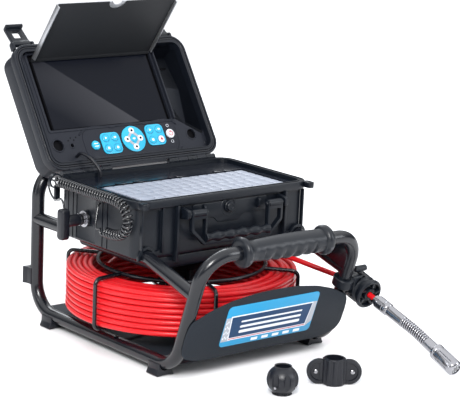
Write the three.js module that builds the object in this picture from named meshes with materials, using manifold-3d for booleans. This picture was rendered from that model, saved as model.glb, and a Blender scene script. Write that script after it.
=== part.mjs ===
// Pipe inspection camera: a tube carrier with a push-rod reel, a control case with a tilting
// monitor lid, a sprung camera head and two loose centring skids.
// Millimetres, +Z up, -Y is the front. The reel turns about the vertical line x = 0, y = 0.

import * as THREE from 'three';
import { mergeVertices } from 'three/addons/utils/BufferGeometryUtils.js';
import Module from 'manifold-3d';

const wasm = await Module();
wasm.setup();

// ---------------------------------------------------------------- driving dimensions

const GAP = 0.3;                      // clearance left between touching pieces

// Carrier tube
const TUBE_RADIUS = 10;
const RAIL_X = 142;                   // centre of each side rail
const FLOOR_RAIL_Z = 18;
const REAR_Y = 177;
const REAR_BAR_Z = 237;
const FRONT_FOOT_Y = -172;            // where the floor rail meets the front upright
const HANDLE_Y = -230.5;
const HANDLE_Z = 188;
const MID_RAIL_Z = 160;
const REAR_BEND = 45;
const FLOOR_BEND = 46;
const HANDLE_BEND = 42;
const TUBE_SIDES = 12;

// Reel
const COIL_OUTER = 174;
const COIL_INNER = 134;
const COIL_BOTTOM = 44.5;
const COIL_TOP = 111.6;
const WIRE_RADIUS = 3;
const WIRE_CAGE_RADIUS = COIL_OUTER + WIRE_RADIUS + 1.2;
const WIRE_LOW_Z = COIL_BOTTOM - WIRE_RADIUS - 0.8;
const WIRE_HIGH_Z = COIL_TOP + WIRE_RADIUS + 0.8;
const WIRE_COUNT = 6;
const WIRE_START_DEG = 8;
const RING_RADIUS = 126;
const ROD_RADIUS = 4;

// Control case base
const CASE_WIDTH = 325;
const CASE_FRONT = -102;
const CASE_BACK = 106;
const CASE_DEPTH = CASE_BACK - CASE_FRONT;
const CASE_CORNER = 26;
const RIM_TOP = 241;
const RIM_HEIGHT = 12;
const RIM_OVERHANG = 5;
const BODY_BOTTOM = 155;
const BELLY_BOTTOM = 136;
const BELLY_WIDTH = 252;
const WELL_FLOOR = 176;
const RIB_XS = [-91, 111];

// Lid, in its own frame: x across, y up the lid from the hinge, z out of the mating face
const HINGE_SETBACK = 5.5;
const HINGE_Y = CASE_BACK + HINGE_SETBACK;
const HINGE_Z = RIM_TOP + GAP;
const LID_LEAN_DEG = 33.65;           // from the vertical
const LID_DEPTH = 44;
const LID_NEAR = HINGE_SETBACK;
const LID_FAR = LID_NEAR + CASE_DEPTH;
const LID_RIM = 12;
const FASCIA_Z = -9.7;                // front face of the monitor fascia
const KNUCKLE_RADIUS = 4.6;
const SCREEN = { x: -20, width: 214, low: 74.5, high: 187.5 };
const KEYPAD_Z = FASCIA_Z + 1.5;
const KEY_TOP = FASCIA_Z + 3.3;
const KEY_BOTTOM = FASCIA_Z + 0.8;

// Visor
const VISOR = { width: 222, length: 116, y: 188.5, z: -5.5, leanDeg: 35.8, notch: 9.5 };

// Latches on the lid's free edge
const LATCH_XS = { left_latch: -132, right_latch: 132 };
const LATCH = { y: LID_FAR + 6, z: -14, width: 30, length: 36, tiltDeg: -20 };

// Carry handle on the front of the case
const CARRY = { left: -76, right: 94, y: -113, z: 218, low: 170 };
const PIVOT = { radius: 3, reach: 7 };

// Rod guide and camera
const GUIDE = { x: 178, y: -185, z: 102, dropDeg: 17.5, radius: 22, length: 42 };
const HEAD_BEND_DEG = 5;
const SPRING_RADIUS = 8.5;

// ---------------------------------------------------------------- materials

function material(color, roughness, metalness = 0) {
  return new THREE.MeshStandardMaterial({ color, roughness, metalness, flatShading: true });
}

const LOOKS = {
  frame: () => material(0x1b1e23, 0.4, 0.3),
  plastic: () => material(0x25282d, 0.6),
  panel: () => material(0x2d3036, 0.7),
  rubber: () => material(0x1f2226, 0.8),
  sheet: () => material(0x2b2e33, 0.6, 0.2),
  red: () => material(0xe8202a, 0.35),
  white: () => material(0xdcdde8, 0.5),
  blue: () => material(0x35b8ea, 0.4),
  label: () => material(0x2f93d6, 0.35),
  screen: () => material(0x0c1018, 0.1),
  steel: () => material(0xb4b6ba, 0.3, 1),
  silver: () => material(0xc8cacd, 0.35, 0.8),
  board: () => material(0x1c5a34, 0.6),
};

// ---------------------------------------------------------------- solids and meshes

function solid(geometry) {
  const bare = geometry.clone();
  bare.deleteAttribute('normal');
  bare.deleteAttribute('uv');
  const merged = mergeVertices(bare, 1e-4);
  const index = merged.index.array;
  const kept = [];
  for (let i = 0; i < index.length; i += 3) {
    const [a, b, c] = [index[i], index[i + 1], index[i + 2]];
    if (a !== b && b !== c && c !== a) kept.push(a, b, c);
  }
  return new wasm.Manifold(new wasm.Mesh({
    numProp: 3,
    vertProperties: new Float32Array(merged.attributes.position.array),
    triVerts: new Uint32Array(kept),
  }));
}

function join(...geometries) {
  return geometries.map(asSolid).reduce((whole, piece) => whole.add(piece));
}

function cut(whole, ...tools) {
  return tools.map(asSolid).reduce((left, tool) => left.subtract(tool), asSolid(whole));
}

function asSolid(shape) {
  return shape.isBufferGeometry ? solid(shape) : shape;
}

function toGeometry(shape) {
  const { vertProperties, triVerts } = asSolid(shape).getMesh();
  const geometry = new THREE.BufferGeometry();
  geometry.setAttribute('position', new THREE.BufferAttribute(vertProperties, 3));
  geometry.setIndex(new THREE.BufferAttribute(triVerts, 1));
  geometry.computeVertexNormals();
  return geometry;
}

function piece(parent, name, look, shape) {
  const mesh = new THREE.Mesh(toGeometry(shape), LOOKS[look]());
  mesh.name = name;
  parent.add(mesh);
  return mesh;
}

function box(x0, x1, y0, y1, z0, z1) {
  const geometry = new THREE.BoxGeometry(Math.abs(x1 - x0), y1 - y0, z1 - z0);
  return geometry.translate((x0 + x1) / 2, (y0 + y1) / 2, (z0 + z1) / 2);
}

function cylinder(axis, radius, from, to, u, v, sides = 24) {
  const geometry = new THREE.CylinderGeometry(radius, radius, Math.abs(to - from), sides);
  const mid = (from + to) / 2;
  if (axis === 'x') return geometry.rotateZ(-Math.PI / 2).translate(mid, u, v);
  if (axis === 'z') return geometry.rotateX(Math.PI / 2).translate(u, v, mid);
  return geometry.translate(u, mid, v);
}

function slab(outline, z0, z1, bevel = 0) {
  return new THREE.ExtrudeGeometry(outline, {
    depth: z1 - z0 - 2 * bevel,
    bevelEnabled: bevel > 0,
    bevelThickness: bevel,
    bevelSize: bevel,
    bevelOffset: -bevel,
    bevelSegments: 1,
    curveSegments: 4,
  }).translate(0, 0, z0 + bevel);
}

function roundedRect(x0, x1, y0, y1, radius) {
  const shape = new THREE.Shape();
  shape.moveTo(x0 + radius, y0);
  shape.lineTo(x1 - radius, y0);
  shape.absarc(x1 - radius, y0 + radius, radius, -Math.PI / 2, 0);
  shape.lineTo(x1, y1 - radius);
  shape.absarc(x1 - radius, y1 - radius, radius, 0, Math.PI / 2);
  shape.lineTo(x0 + radius, y1);
  shape.absarc(x0 + radius, y1 - radius, radius, Math.PI / 2, Math.PI);
  shape.lineTo(x0, y0 + radius);
  shape.absarc(x0 + radius, y0 + radius, radius, Math.PI, Math.PI * 1.5);
  return shape;
}

function polygon(points) {
  return new THREE.Shape(points.map(([x, y]) => new THREE.Vector2(x, y)));
}

// A round body of revolution about the Z axis, from [radius, z] pairs.
function turned(points, sides = 24) {
  const profile = points.map(([r, z]) => new THREE.Vector2(r, z));
  return new THREE.LatheGeometry(profile, sides).rotateX(Math.PI / 2);
}

// A route of straight runs joined by circular bends. Each run is one step and each bend is
// BEND_STEPS steps, so the parameter isn't the distance along it.
const BEND_STEPS = 5;

class BentRoute extends THREE.Curve {
  constructor(corners, radius) {
    super();
    const points = corners.map((corner) => new THREE.Vector3(...corner));
    this.stations = [points[0]];
    for (let i = 1; i < points.length - 1; i += 1) {
      this.addBend(points[i - 1], points[i], points[i + 1], radius);
    }
    this.stations.push(points[points.length - 1]);
    this.steps = this.stations.length - 1;
  }

  addBend(before, corner, after, radius) {
    const a = before.clone().sub(corner).normalize();
    const b = after.clone().sub(corner).normalize();
    const half = a.angleTo(b) / 2;
    const centre = a.clone().add(b).normalize().multiplyScalar(radius / Math.sin(half)).add(corner);
    const start = a.clone().multiplyScalar(radius / Math.tan(half)).add(corner).sub(centre);
    const end = b.clone().multiplyScalar(radius / Math.tan(half)).add(corner).sub(centre);
    const sweep = start.angleTo(end);
    for (let i = 0; i <= BEND_STEPS; i += 1) {
      const t = i / BEND_STEPS;
      const p = start.clone().multiplyScalar(Math.sin((1 - t) * sweep) / Math.sin(sweep));
      p.addScaledVector(end, Math.sin(t * sweep) / Math.sin(sweep));
      this.stations.push(p.add(centre));
    }
  }

  getUtoTmapping(u) {
    return u;
  }

  getPoint(t, target = new THREE.Vector3()) {
    const at = Math.min(Math.max(t, 0), 1) * this.steps;
    const i = Math.min(Math.floor(at), this.steps - 1);
    return target.copy(this.stations[i]).lerp(this.stations[i + 1], at - i);
  }

  // At a station the section stands square to the mean of the runs on both sides of it.
  getTangent(t, target = new THREE.Vector3()) {
    const i = Math.round(t * this.steps);
    const low = this.stations[Math.max(i - 1, 0)];
    const high = this.stations[Math.min(i + 1, this.steps)];
    return target.copy(high).sub(low).normalize();
  }
}

function disc(radius, sides) {
  const shape = new THREE.Shape();
  for (let i = 0; i < sides; i += 1) {
    const angle = (i + 0.5) * 2 * Math.PI / sides;
    const [x, y] = [radius * Math.cos(angle), radius * Math.sin(angle)];
    if (i === 0) shape.moveTo(x, y);
    else shape.lineTo(x, y);
  }
  return shape;
}

function bentTube(corners, bend, radius = TUBE_RADIUS, sides = TUBE_SIDES) {
  const route = new BentRoute(corners, bend);
  return new THREE.ExtrudeGeometry(disc(radius, sides), {
    steps: route.steps,
    extrudePath: route,
    bevelEnabled: false,
  });
}

function smoothTube(points, radius, steps, sides) {
  const route = new THREE.CatmullRomCurve3(points.map((point) => new THREE.Vector3(...point)));
  return new THREE.ExtrudeGeometry(disc(radius, sides), {
    steps,
    extrudePath: route,
    bevelEnabled: false,
  });
}

function straightTube(from, to, radius, sides = TUBE_SIDES) {
  return smoothTube([from, to], radius, 1, sides);
}

// ---------------------------------------------------------------- carrier frame

const LEAN = new THREE.Vector3(0, HANDLE_Y - FRONT_FOOT_Y, HANDLE_Z - FLOOR_RAIL_Z).normalize();

function uprightPoint(x, z) {
  const along = (z - FLOOR_RAIL_Z) / LEAN.z;
  return [x, FRONT_FOOT_Y + LEAN.y * along, z];
}

const REAR_JOINT_Z = REAR_BAR_Z - REAR_BEND - 3;
const FRONT_JOINT_Z = HANDLE_Z - HANDLE_BEND - 3;

function sideRail(x, grow = 0) {
  return bentTube([
    [x, REAR_Y, REAR_JOINT_Z - GAP],
    [x, REAR_Y, FLOOR_RAIL_Z],
    [x, FRONT_FOOT_Y, FLOOR_RAIL_Z],
    uprightPoint(x, FRONT_JOINT_Z - GAP),
  ], FLOOR_BEND, TUBE_RADIUS + grow);
}

function midRailRoute(x) {
  return [[x, REAR_Y, MID_RAIL_Z], [x, -103, MID_RAIL_Z], uprightPoint(x, 130)];
}

function midRail(x) {
  const tube = bentTube(midRailRoute(x), 40);
  return cut(tube, sideRail(x, GAP));
}

function rearTopBar() {
  return bentTube([
    [-RAIL_X, REAR_Y, REAR_JOINT_Z],
    [-RAIL_X, REAR_Y, REAR_BAR_Z],
    [RAIL_X, REAR_Y, REAR_BAR_Z],
    [RAIL_X, REAR_Y, REAR_JOINT_Z],
  ], REAR_BEND);
}

function handleBar() {
  return bentTube([
    uprightPoint(-RAIL_X, FRONT_JOINT_Z),
    [-RAIL_X, HANDLE_Y, HANDLE_Z],
    [RAIL_X, HANDLE_Y, HANDLE_Z],
    uprightPoint(RAIL_X, FRONT_JOINT_Z),
  ], HANDLE_BEND);
}

function handleGrip() {
  const bore = TUBE_RADIUS + GAP;
  const profile = [
    [bore, -83], [16, -83], [20.5, -80], [20.5, -74], [16.5, -70], [15.5, -60], [17, -20],
    [17.5, 10], [16.5, 60], [16.5, 67], [20.5, 71], [20.5, 77], [16, 80], [bore, 80], [bore, -83],
  ];
  return turned(profile).rotateY(Math.PI / 2).translate(0, HANDLE_Y, HANDLE_Z);
}

const FOOT = { long: 26, wide: 24, sole: 4, flare: 3, wrap: 1 };

// A clip-on foot, sole down, under a tube along Y whose centre is at the frame's origin.
function clipFoot() {
  const low = -FLOOR_RAIL_Z;
  const waist = box(-FOOT.wide / 2, FOOT.wide / 2, -FOOT.long / 2, FOOT.long / 2, low + 1, FOOT.wrap);
  const half = FOOT.wide / 2 + FOOT.flare;
  const sole = box(-half, half, -FOOT.long / 2 - 1, FOOT.long / 2 + 1, low, low + FOOT.sole);
  const seat = cylinder('y', TUBE_RADIUS + GAP, -40, 40, 0, 0);
  return cut(join(waist, sole), seat);
}

const TRAY_TOP = FLOOR_RAIL_Z + 4;
const LIP_OUT = TUBE_RADIUS + 0.5;

function floorTray() {
  const edge = RAIL_X - TUBE_RADIUS - 0.6;
  return slab(roundedRect(-edge, edge, -173, 166, 8), TRAY_TOP - 2, TRAY_TOP);
}

// The raised front lip, drawn in the leaning plane of the front uprights.
const LIP_OUTLINE = [
  [0, 14], [100, 13], [124, 16], [142, 22], [149, 34], [149.5, 60], [147.5, 74], [143, 83],
  [132, 88], [112, 98], [80, 107.5], [40, 113.5], [0, 115],
];

function frontLip() {
  const right = LIP_OUTLINE.slice(1, -1);
  const left = right.map(([x, y]) => [-x, y]).reverse();
  return slab(polygon([LIP_OUTLINE[0], ...right, LIP_OUTLINE.at(-1), ...left]), 0, 2.5);
}

function labelPlate() {
  return slab(roundedRect(-84, 86, 31, 99, 8), 2.5 + GAP, 3.6);
}

function carrier(parent) {
  piece(parent, 'left_side_rail', 'frame', sideRail(-RAIL_X));
  piece(parent, 'right_side_rail', 'frame', sideRail(RAIL_X));
  piece(parent, 'left_mid_rail', 'frame', midRail(-RAIL_X));
  piece(parent, 'right_mid_rail', 'frame', midRail(RAIL_X));
  piece(parent, 'rear_top_bar', 'frame', rearTopBar());
  piece(parent, 'handle_bar', 'frame', handleBar());
  piece(parent, 'handle_grip', 'rubber', handleGrip());
  for (const [end, y] of [['front', -138], ['rear', 132]]) {
    for (const [side, x] of [['left', -RAIL_X], ['right', RAIL_X]]) {
      piece(parent, `${end}_${side}_foot`, 'rubber', clipFoot()).position.set(x, y, FLOOR_RAIL_Z);
    }
  }
  for (const [side, x] of [['left', -RAIL_X], ['right', RAIL_X]]) {
    const bumper = piece(parent, `${side}_rear_bumper`, 'rubber', clipFoot());
    bumper.position.set(x, REAR_Y, 70);
    bumper.rotation.x = Math.PI / 2;
  }
  piece(parent, 'floor_tray', 'sheet', floorTray());
  const plane = new THREE.Group();
  plane.position.set(0, FRONT_FOOT_Y - LEAN.z * LIP_OUT, FLOOR_RAIL_Z + LEAN.y * LIP_OUT);
  plane.rotation.x = Math.atan2(LEAN.z, LEAN.y);
  parent.add(plane);
  piece(plane, 'front_lip', 'sheet', frontLip());
  piece(plane, 'label_plate', 'label', labelPlate());
}

// ---------------------------------------------------------------- push-rod reel

const HUB_RADIUS = 26;
const HUB_BOTTOM = 34;
const HUB_TOP = 118;

function cageWire(angleDeg) {
  const wire = bentTube([
    [HUB_RADIUS - 4, 0, WIRE_LOW_Z],
    [WIRE_CAGE_RADIUS, 0, WIRE_LOW_Z],
    [WIRE_CAGE_RADIUS, 0, WIRE_HIGH_Z],
    [RING_RADIUS, 0, WIRE_HIGH_Z],
  ], 9, WIRE_RADIUS, 6);
  return wire.rotateZ(THREE.MathUtils.degToRad(angleDeg));
}

function basket() {
  const ring = new THREE.TorusGeometry(RING_RADIUS, WIRE_RADIUS, 6, 36).translate(0, 0, WIRE_HIGH_Z);
  const plate = turned([
    [HUB_RADIUS + GAP, WIRE_LOW_Z - 3], [48, WIRE_LOW_Z - 3], [48, WIRE_LOW_Z + 3],
    [HUB_RADIUS + GAP, WIRE_LOW_Z + 3], [HUB_RADIUS + GAP, WIRE_LOW_Z - 3],
  ]);
  const wires = [];
  for (let i = 0; i < WIRE_COUNT; i += 1) {
    wires.push(cageWire(WIRE_START_DEG + i * 360 / WIRE_COUNT));
  }
  const core = cylinder('z', HUB_RADIUS + GAP, 0, 100, 0, 0);
  return cut(join(ring, plate, ...wires), core);
}

function coil() {
  const ease = 4;
  return turned([
    [COIL_INNER, COIL_BOTTOM], [COIL_OUTER - ease, COIL_BOTTOM], [COIL_OUTER, COIL_BOTTOM + ease],
    [COIL_OUTER, COIL_TOP - ease], [COIL_OUTER - ease, COIL_TOP], [COIL_INNER, COIL_TOP],
    [COIL_INNER, COIL_BOTTOM],
  ], 48);
}

function hub() {
  const bore = 10.5;
  return turned([
    [bore, HUB_BOTTOM], [HUB_RADIUS, HUB_BOTTOM], [HUB_RADIUS, HUB_TOP - 12], [36, HUB_TOP - 8],
    [36, HUB_TOP], [bore, HUB_TOP], [bore, HUB_BOTTOM],
  ]);
}

function spindle() {
  const foot = TRAY_TOP + GAP;
  return turned([[0, foot], [40, foot], [40, foot + 5], [10, foot + 8], [10, 119], [0, 119]]);
}

function topBearing() {
  const top = BELLY_BOTTOM - GAP;
  return turned([[0, 119.5], [22, 119.5], [22, 126], [48, 128], [48, top], [0, top]]);
}

function reel(parent) {
  piece(parent, 'reel_spindle', 'steel', spindle());
  piece(parent, 'reel_top_bearing', 'plastic', topBearing());
  piece(parent, 'reel_hub', 'plastic', hub());
  piece(parent, 'reel_basket', 'frame', basket());
  piece(parent, 'rod_coil', 'red', coil());
}

// ---------------------------------------------------------------- rod guide and camera head

const DROP = THREE.MathUtils.degToRad(GUIDE.dropDeg);

function alongRod(distance) {
  return [GUIDE.x, GUIDE.y - distance * Math.cos(DROP), GUIDE.z - distance * Math.sin(DROP)];
}

// The lead leaves the coil's inner wall, passes over the basket and enters the guide.
const LEAD_ROUTE = [
  [-70, 92, 96], [-20, 114, 106], [36, 110, 115], [80, 83, 121], [107, 40, 124.5], [116, -10, 126],
  [121, -60, 127], [127, -108, 125.5], [142, -144, 118], [163, -168, 108.5], alongRod(0),
];

function rodLead() {
  return smoothTube([...LEAD_ROUTE, alongRod(25), alongRod(54)], ROD_RADIUS, 44, 8);
}

function placeAlongRod(geometry, distance) {
  geometry.rotateX(Math.PI / 2 + DROP);
  return geometry.translate(...alongRod(distance));
}

function guideBody() {
  const bore = ROD_RADIUS + 1.2;
  const { radius, length } = GUIDE;
  const barrel = turned([
    [bore, 0], [radius - 4, 0], [radius, 5], [radius, length - 14], [radius - 3, length - 12],
    [radius - 3, length - 8], [radius + 1, length - 6], [radius + 1, length - 2],
    [radius - 2, length], [bore, length], [bore, 0],
  ]);
  return placeAlongRod(barrel, 0);
}

function guideClamp() {
  const low = uprightPoint(RAIL_X, 104);
  const high = uprightPoint(RAIL_X, 118);
  const collar = straightTube(low, high, TUBE_RADIUS + 6, 16);
  const arm = box(RAIL_X + 8, GUIDE.x, -214, -186, 90, 118);
  const barrel = placeAlongRod(cylinder('z', GUIDE.radius + 1 + GAP, -60, 90, 0, 0), 0);
  return cut(join(collar, arm), sideRail(RAIL_X, GAP), barrel);
}

const KNOB = { x: 172, y: -207, low: 119.6, high: 127, radius: 4.5, half: 11 };

function guideKnob() {
  const { x, y, low, high, radius, half } = KNOB;
  const stem = cylinder('z', 3.5, low, high, x, y, 12);
  return join(stem, cylinder('x', radius, x - half, x + half, y, high, 12));
}

const COUPLING = { start: 54.5, length: 32, radius: 10 };
const SPRING_START = COUPLING.start + COUPLING.length + GAP;
const BEND_AT = SPRING_START + 55.5;
const SPRING_FRONT = 46;

function coupling() {
  const { length, radius } = COUPLING;
  const body = turned([
    [0, 0], [radius - 3, 0], [radius, 3], [radius, length - 3], [radius - 1, length], [0, length],
  ]);
  const slots = [];
  for (let i = 0; i < 3; i += 1) {
    const slot = box(radius - 2.5, radius + 2, -2, 2, 4, 20);
    slots.push(slot.rotateZ(i * 2 * Math.PI / 3 + 0.5));
  }
  const shape = cut(body, ...slots);
  return placeAlongRod(toGeometry(shape), COUPLING.start);
}

function springRear() {
  const length = BEND_AT - SPRING_START - GAP;
  const half = turned([
    [0, 0], [SPRING_RADIUS, 0], [SPRING_RADIUS, length - 4.5], [1.5, length], [0, length],
  ]);
  return placeAlongRod(half, SPRING_START);
}

// Pieces of the bending head, drawn along +Z from the bend point.
function springFront() {
  return turned([
    [0, GAP], [1.5, GAP], [SPRING_RADIUS, 4.8], [SPRING_RADIUS, SPRING_FRONT],
    [0, SPRING_FRONT],
  ]);
}

const HEAD = { start: SPRING_FRONT + GAP, length: 46, radius: 12, lens: 7 };

function cameraHead() {
  const { start, length, radius, lens } = HEAD;
  const end = start + length;
  const body = turned([
    [0, start], [radius - 2, start], [radius, start + 3], [radius, end - 3], [radius - 2, end],
    [lens + GAP, end], [lens + GAP, end - 4], [0, end - 4],
  ]);
  const grooves = [];
  for (let i = 0; i < 6; i += 1) {
    const groove = cylinder('z', 2.6, start + 5, end - 7, radius + 1.2, 0, 10);
    grooves.push(groove.rotateZ(i * Math.PI / 3));
  }
  return cut(body, ...grooves);
}

function headLens() {
  const end = HEAD.start + HEAD.length;
  return turned([[0, end - 4 + GAP], [HEAD.lens, end - 4 + GAP], [HEAD.lens, end - 1], [0, end - 1]]);
}

function guideAndCamera(parent) {
  piece(parent, 'guide_clamp', 'plastic', guideClamp());
  piece(parent, 'guide_body', 'plastic', guideBody());
  piece(parent, 'guide_knob', 'plastic', guideKnob());
  piece(parent, 'push_rod_lead', 'red', rodLead());
  piece(parent, 'rod_coupling', 'steel', coupling());
  piece(parent, 'spring_rear', 'steel', springRear());
  const head = new THREE.Group();
  head.position.set(...alongRod(BEND_AT));
  head.rotation.x = Math.PI / 2 + DROP + THREE.MathUtils.degToRad(HEAD_BEND_DEG);
  parent.add(head);
  piece(head, 'spring_front', 'steel', springFront());
  piece(head, 'camera_head', 'steel', cameraHead());
  piece(head, 'camera_lens', 'screen', headLens());
}

// ---------------------------------------------------------------- control case base

function caseOutline(inset, radius) {
  const half = CASE_WIDTH / 2 - inset;
  return roundedRect(-half, half, CASE_FRONT + inset, CASE_BACK - inset, radius);
}

// Five knuckles at each side share the hinge line: three on the base and two on the lid.
const KNUCKLE = { start: 55, pitch: 18.2, width: 17.6 };

function knuckleSpans(onLid) {
  const spans = [];
  for (const side of [-1, 1]) {
    for (let i = 0; i < 5; i += 1) {
      if ((i % 2 === 1) !== onLid) continue;
      const near = KNUCKLE.start + i * KNUCKLE.pitch;
      const far = near + KNUCKLE.width;
      spans.push(side > 0 ? [near, far] : [-far, -near]);
    }
  }
  return spans;
}

const PIN_RADIUS = 1.8;

// The padlock eye at each front corner of the case.
const EYE = { inner: 149.5, outer: 160, front: -113 };

// The case is hollow: a wide pocket down to the well floor and a narrower one below it.
const UPPER_POCKET = { half: 152, inset: 10, corner: 16 };
const LOWER_POCKET = { half: 121, front: -88, back: 92, corner: 10, floor: BELLY_BOTTOM + 5 };

function casePockets() {
  const { half, inset, corner } = UPPER_POCKET;
  const upper = roundedRect(-half, half, CASE_FRONT + inset, CASE_BACK - inset, corner);
  const { half: low, front, back, corner: lowCorner, floor } = LOWER_POCKET;
  const lower = roundedRect(-low, low, front, back, lowCorner);
  return [slab(upper, WELL_FLOOR, RIM_TOP + 5), slab(lower, floor, WELL_FLOOR + 2)];
}

function baseShell() {
  const body = slab(caseOutline(RIM_OVERHANG, CASE_CORNER - RIM_OVERHANG), BODY_BOTTOM, RIM_TOP - 2);
  const rim = slab(caseOutline(0, CASE_CORNER), RIM_TOP - RIM_HEIGHT, RIM_TOP, 1.5);
  const half = BELLY_WIDTH / 2;
  const belly = slab(roundedRect(-half, half, -93, 98, 14), BELLY_BOTTOM, BODY_BOTTOM + 2, 4);
  const parts = [body, rim, belly];
  for (const x of RIB_XS) parts.push(box(x - 2, x + 2, -105, -95, 148, RIM_TOP - RIM_HEIGHT + 1));
  for (const x of [CARRY.left - 6, CARRY.right + 6]) {
    parts.push(box(x - 3, x + 3, CARRY.y - 6, -95, CARRY.z - 6, CARRY.z + 6));
  }
  for (const side of [-1, 1]) {
    const tab = box(side * EYE.inner, side * EYE.outer, EYE.front, -95, RIM_TOP - 9, RIM_TOP - 1);
    const eye = cylinder('z', 3, 200, 260, side * (EYE.inner + EYE.outer) / 2, EYE.front + 5.5, 12);
    parts.push(cut(tab, eye));
  }
  for (const [x0, x1] of knuckleSpans(false)) {
    parts.push(box(x0, x1, CASE_BACK - 3, HINGE_Y, HINGE_Z - 8, HINGE_Z - 0.8));
    parts.push(cylinder('x', KNUCKLE_RADIUS, x0, x1, HINGE_Y, HINGE_Z, 16));
  }
  const cuts = [
    ...casePockets(),
    cylinder('x', PIN_RADIUS + GAP, -200, 200, HINGE_Y, HINGE_Z, 12),
    cylinder('x', PIVOT.radius + GAP, CARRY.left - 8, CARRY.right + 8, CARRY.y, CARRY.z, 12),
  ];
  for (const x of [-RAIL_X, RAIL_X]) {
    const clear = TUBE_RADIUS + 0.6;
    cuts.push(cylinder('y', clear, -130, 130, x, MID_RAIL_Z));
    cuts.push(box(x - clear, x + clear, -130, 130, BODY_BOTTOM - 20, MID_RAIL_Z));
  }
  for (const [x0, x1] of knuckleSpans(true)) {
    cuts.push(cylinder('x', KNUCKLE_RADIUS + 1, x0 - 0.3, x1 + 0.3, HINGE_Y, HINGE_Z, 16));
  }
  return cut(join(...parts), ...cuts);
}

const KEYBOARD = { x0: -132, x1: 136, y0: -84, y1: 31, z0: 232.3, z1: 235.8 };

// The deck closes the case, and has a shallow recess that holds the keyboard.
const DECK = { low: 229, recess: 232, top: 235.5, margin: 3 };

function keyboardTray() {
  const { half, inset, corner } = UPPER_POCKET;
  const edge = inset + 0.5;
  const outline = roundedRect(-half + 0.5, half - 0.5, CASE_FRONT + edge, CASE_BACK - edge, corner - 0.5);
  const { x0, x1, y0, y1 } = KEYBOARD;
  const { margin } = DECK;
  const recess = box(x0 - margin, x1 + margin, y0 - margin, y1 + margin, DECK.recess, DECK.top + 5);
  return cut(slab(outline, DECK.low, DECK.top), recess);
}

function keyboard() {
  const { x0, x1, y0, y1, z0, z1 } = KEYBOARD;
  const parts = [box(x0, x1, y0, y1, z0, z1 - 1.5)];
  const [rows, edge] = [6, 3];
  const pitch = (y1 - y0 - 2 * edge) / rows;
  for (let row = 0; row < rows; row += 1) {
    const y = y0 + edge + row * pitch;
    parts.push(box(x0 + edge, x1 - edge, y + 0.7, y + pitch - 0.7, z1 - 1.8, z1));
  }
  return join(...parts);
}

function carryHandle() {
  const { left, right, y, z, low } = CARRY;
  const arm = 28;
  const outline = polygon([
    [left, z + 6], [left, low + 22], [left + 24, low], [right - 24, low], [right, low + 22],
    [right, z + 6], [right - arm, z + 6], [right - arm, low + 16], [left + arm, low + 16],
    [left + arm, z + 6],
  ]);
  const plate = slab(outline, -4, 4).rotateX(Math.PI / 2).translate(0, y, 0);
  const windows = [];
  for (const [outer, inner] of [[left + 4, left + arm - 3.5], [right - 4, right - arm + 3.5]]) {
    const hole = polygon([[outer, z - 8], [outer, low + 25], [inner, low + 5], [inner, z - 8]]);
    windows.push(slab(hole, -8, 8).rotateX(Math.PI / 2).translate(0, y, 0));
  }
  const grip = cylinder('x', 7.5, left + arm - 3, right - arm + 3, y, low + 8, 16);
  const trunnions = [
    cylinder('x', PIVOT.radius, left - PIVOT.reach, left + 2, y, z, 12),
    cylinder('x', PIVOT.radius, right - 2, right + PIVOT.reach, y, z, 12),
  ];
  return join(cut(plate, ...windows), grip, ...trunnions);
}

const PLUG = { y: 29.8, z: 191.6 };
const WALL_X = -(CASE_WIDTH / 2 - RIM_OVERHANG);

function sideSocket() {
  const body = cylinder('x', 9.5, WALL_X - 10, WALL_X - GAP, PLUG.y, PLUG.z);
  return join(body, cylinder('x', 12, WALL_X - 4, WALL_X - GAP, PLUG.y, PLUG.z));
}

function sidePlug() {
  const sleeve = cylinder('x', 8.5, WALL_X - 34, WALL_X - 10 - GAP, PLUG.y, PLUG.z);
  const boot = slab(roundedRect(PLUG.y - 8, PLUG.y + 8, PLUG.z - 27, PLUG.z + 19, 5), 0, 14, 2);
  boot.applyMatrix4(new THREE.Matrix4().makeBasis(
    new THREE.Vector3(0, 1, 0),
    new THREE.Vector3(0, 0, 1),
    new THREE.Vector3(1, 0, 0),
  ));
  return join(sleeve, boot.translate(WALL_X - 46, 0, 0));
}

// The plug's cord: a thin lead up to the clip at the rear, then a curly length under the rim.
const CURLY_X = -175;
const PLUG_LEAD = [
  [WALL_X - 39, PLUG.y, PLUG.z + 19.6], [WALL_X - 39, 31, 218], [-193, 42, 222], [-186, 62, 216],
  [-179, 82, 214], [-175, 98, 222], [-175, 101.5, 232], [CURLY_X, 94.5, 239],
];
const CURLY_ROUTE = [
  [CURLY_X, 92, 239.4], [CURLY_X, 40, 239.6], [CURLY_X, -20, 239.4], [CURLY_X, -66, 239],
  [CURLY_X, -88, 232], [CURLY_X, -97, 214.5], [CURLY_X, -88, 197], [CURLY_X, -66, 190],
  [CURLY_X, -26, 190],
];
const TAIL_ROUTE = [
  [CURLY_X, -24.5, 190.2], [-174, -18, 193], [-170, -14, 203], [-166, -11, 214], [-163, -9, 221],
  [WALL_X - 1.2, -8, 222.4],
];

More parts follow.
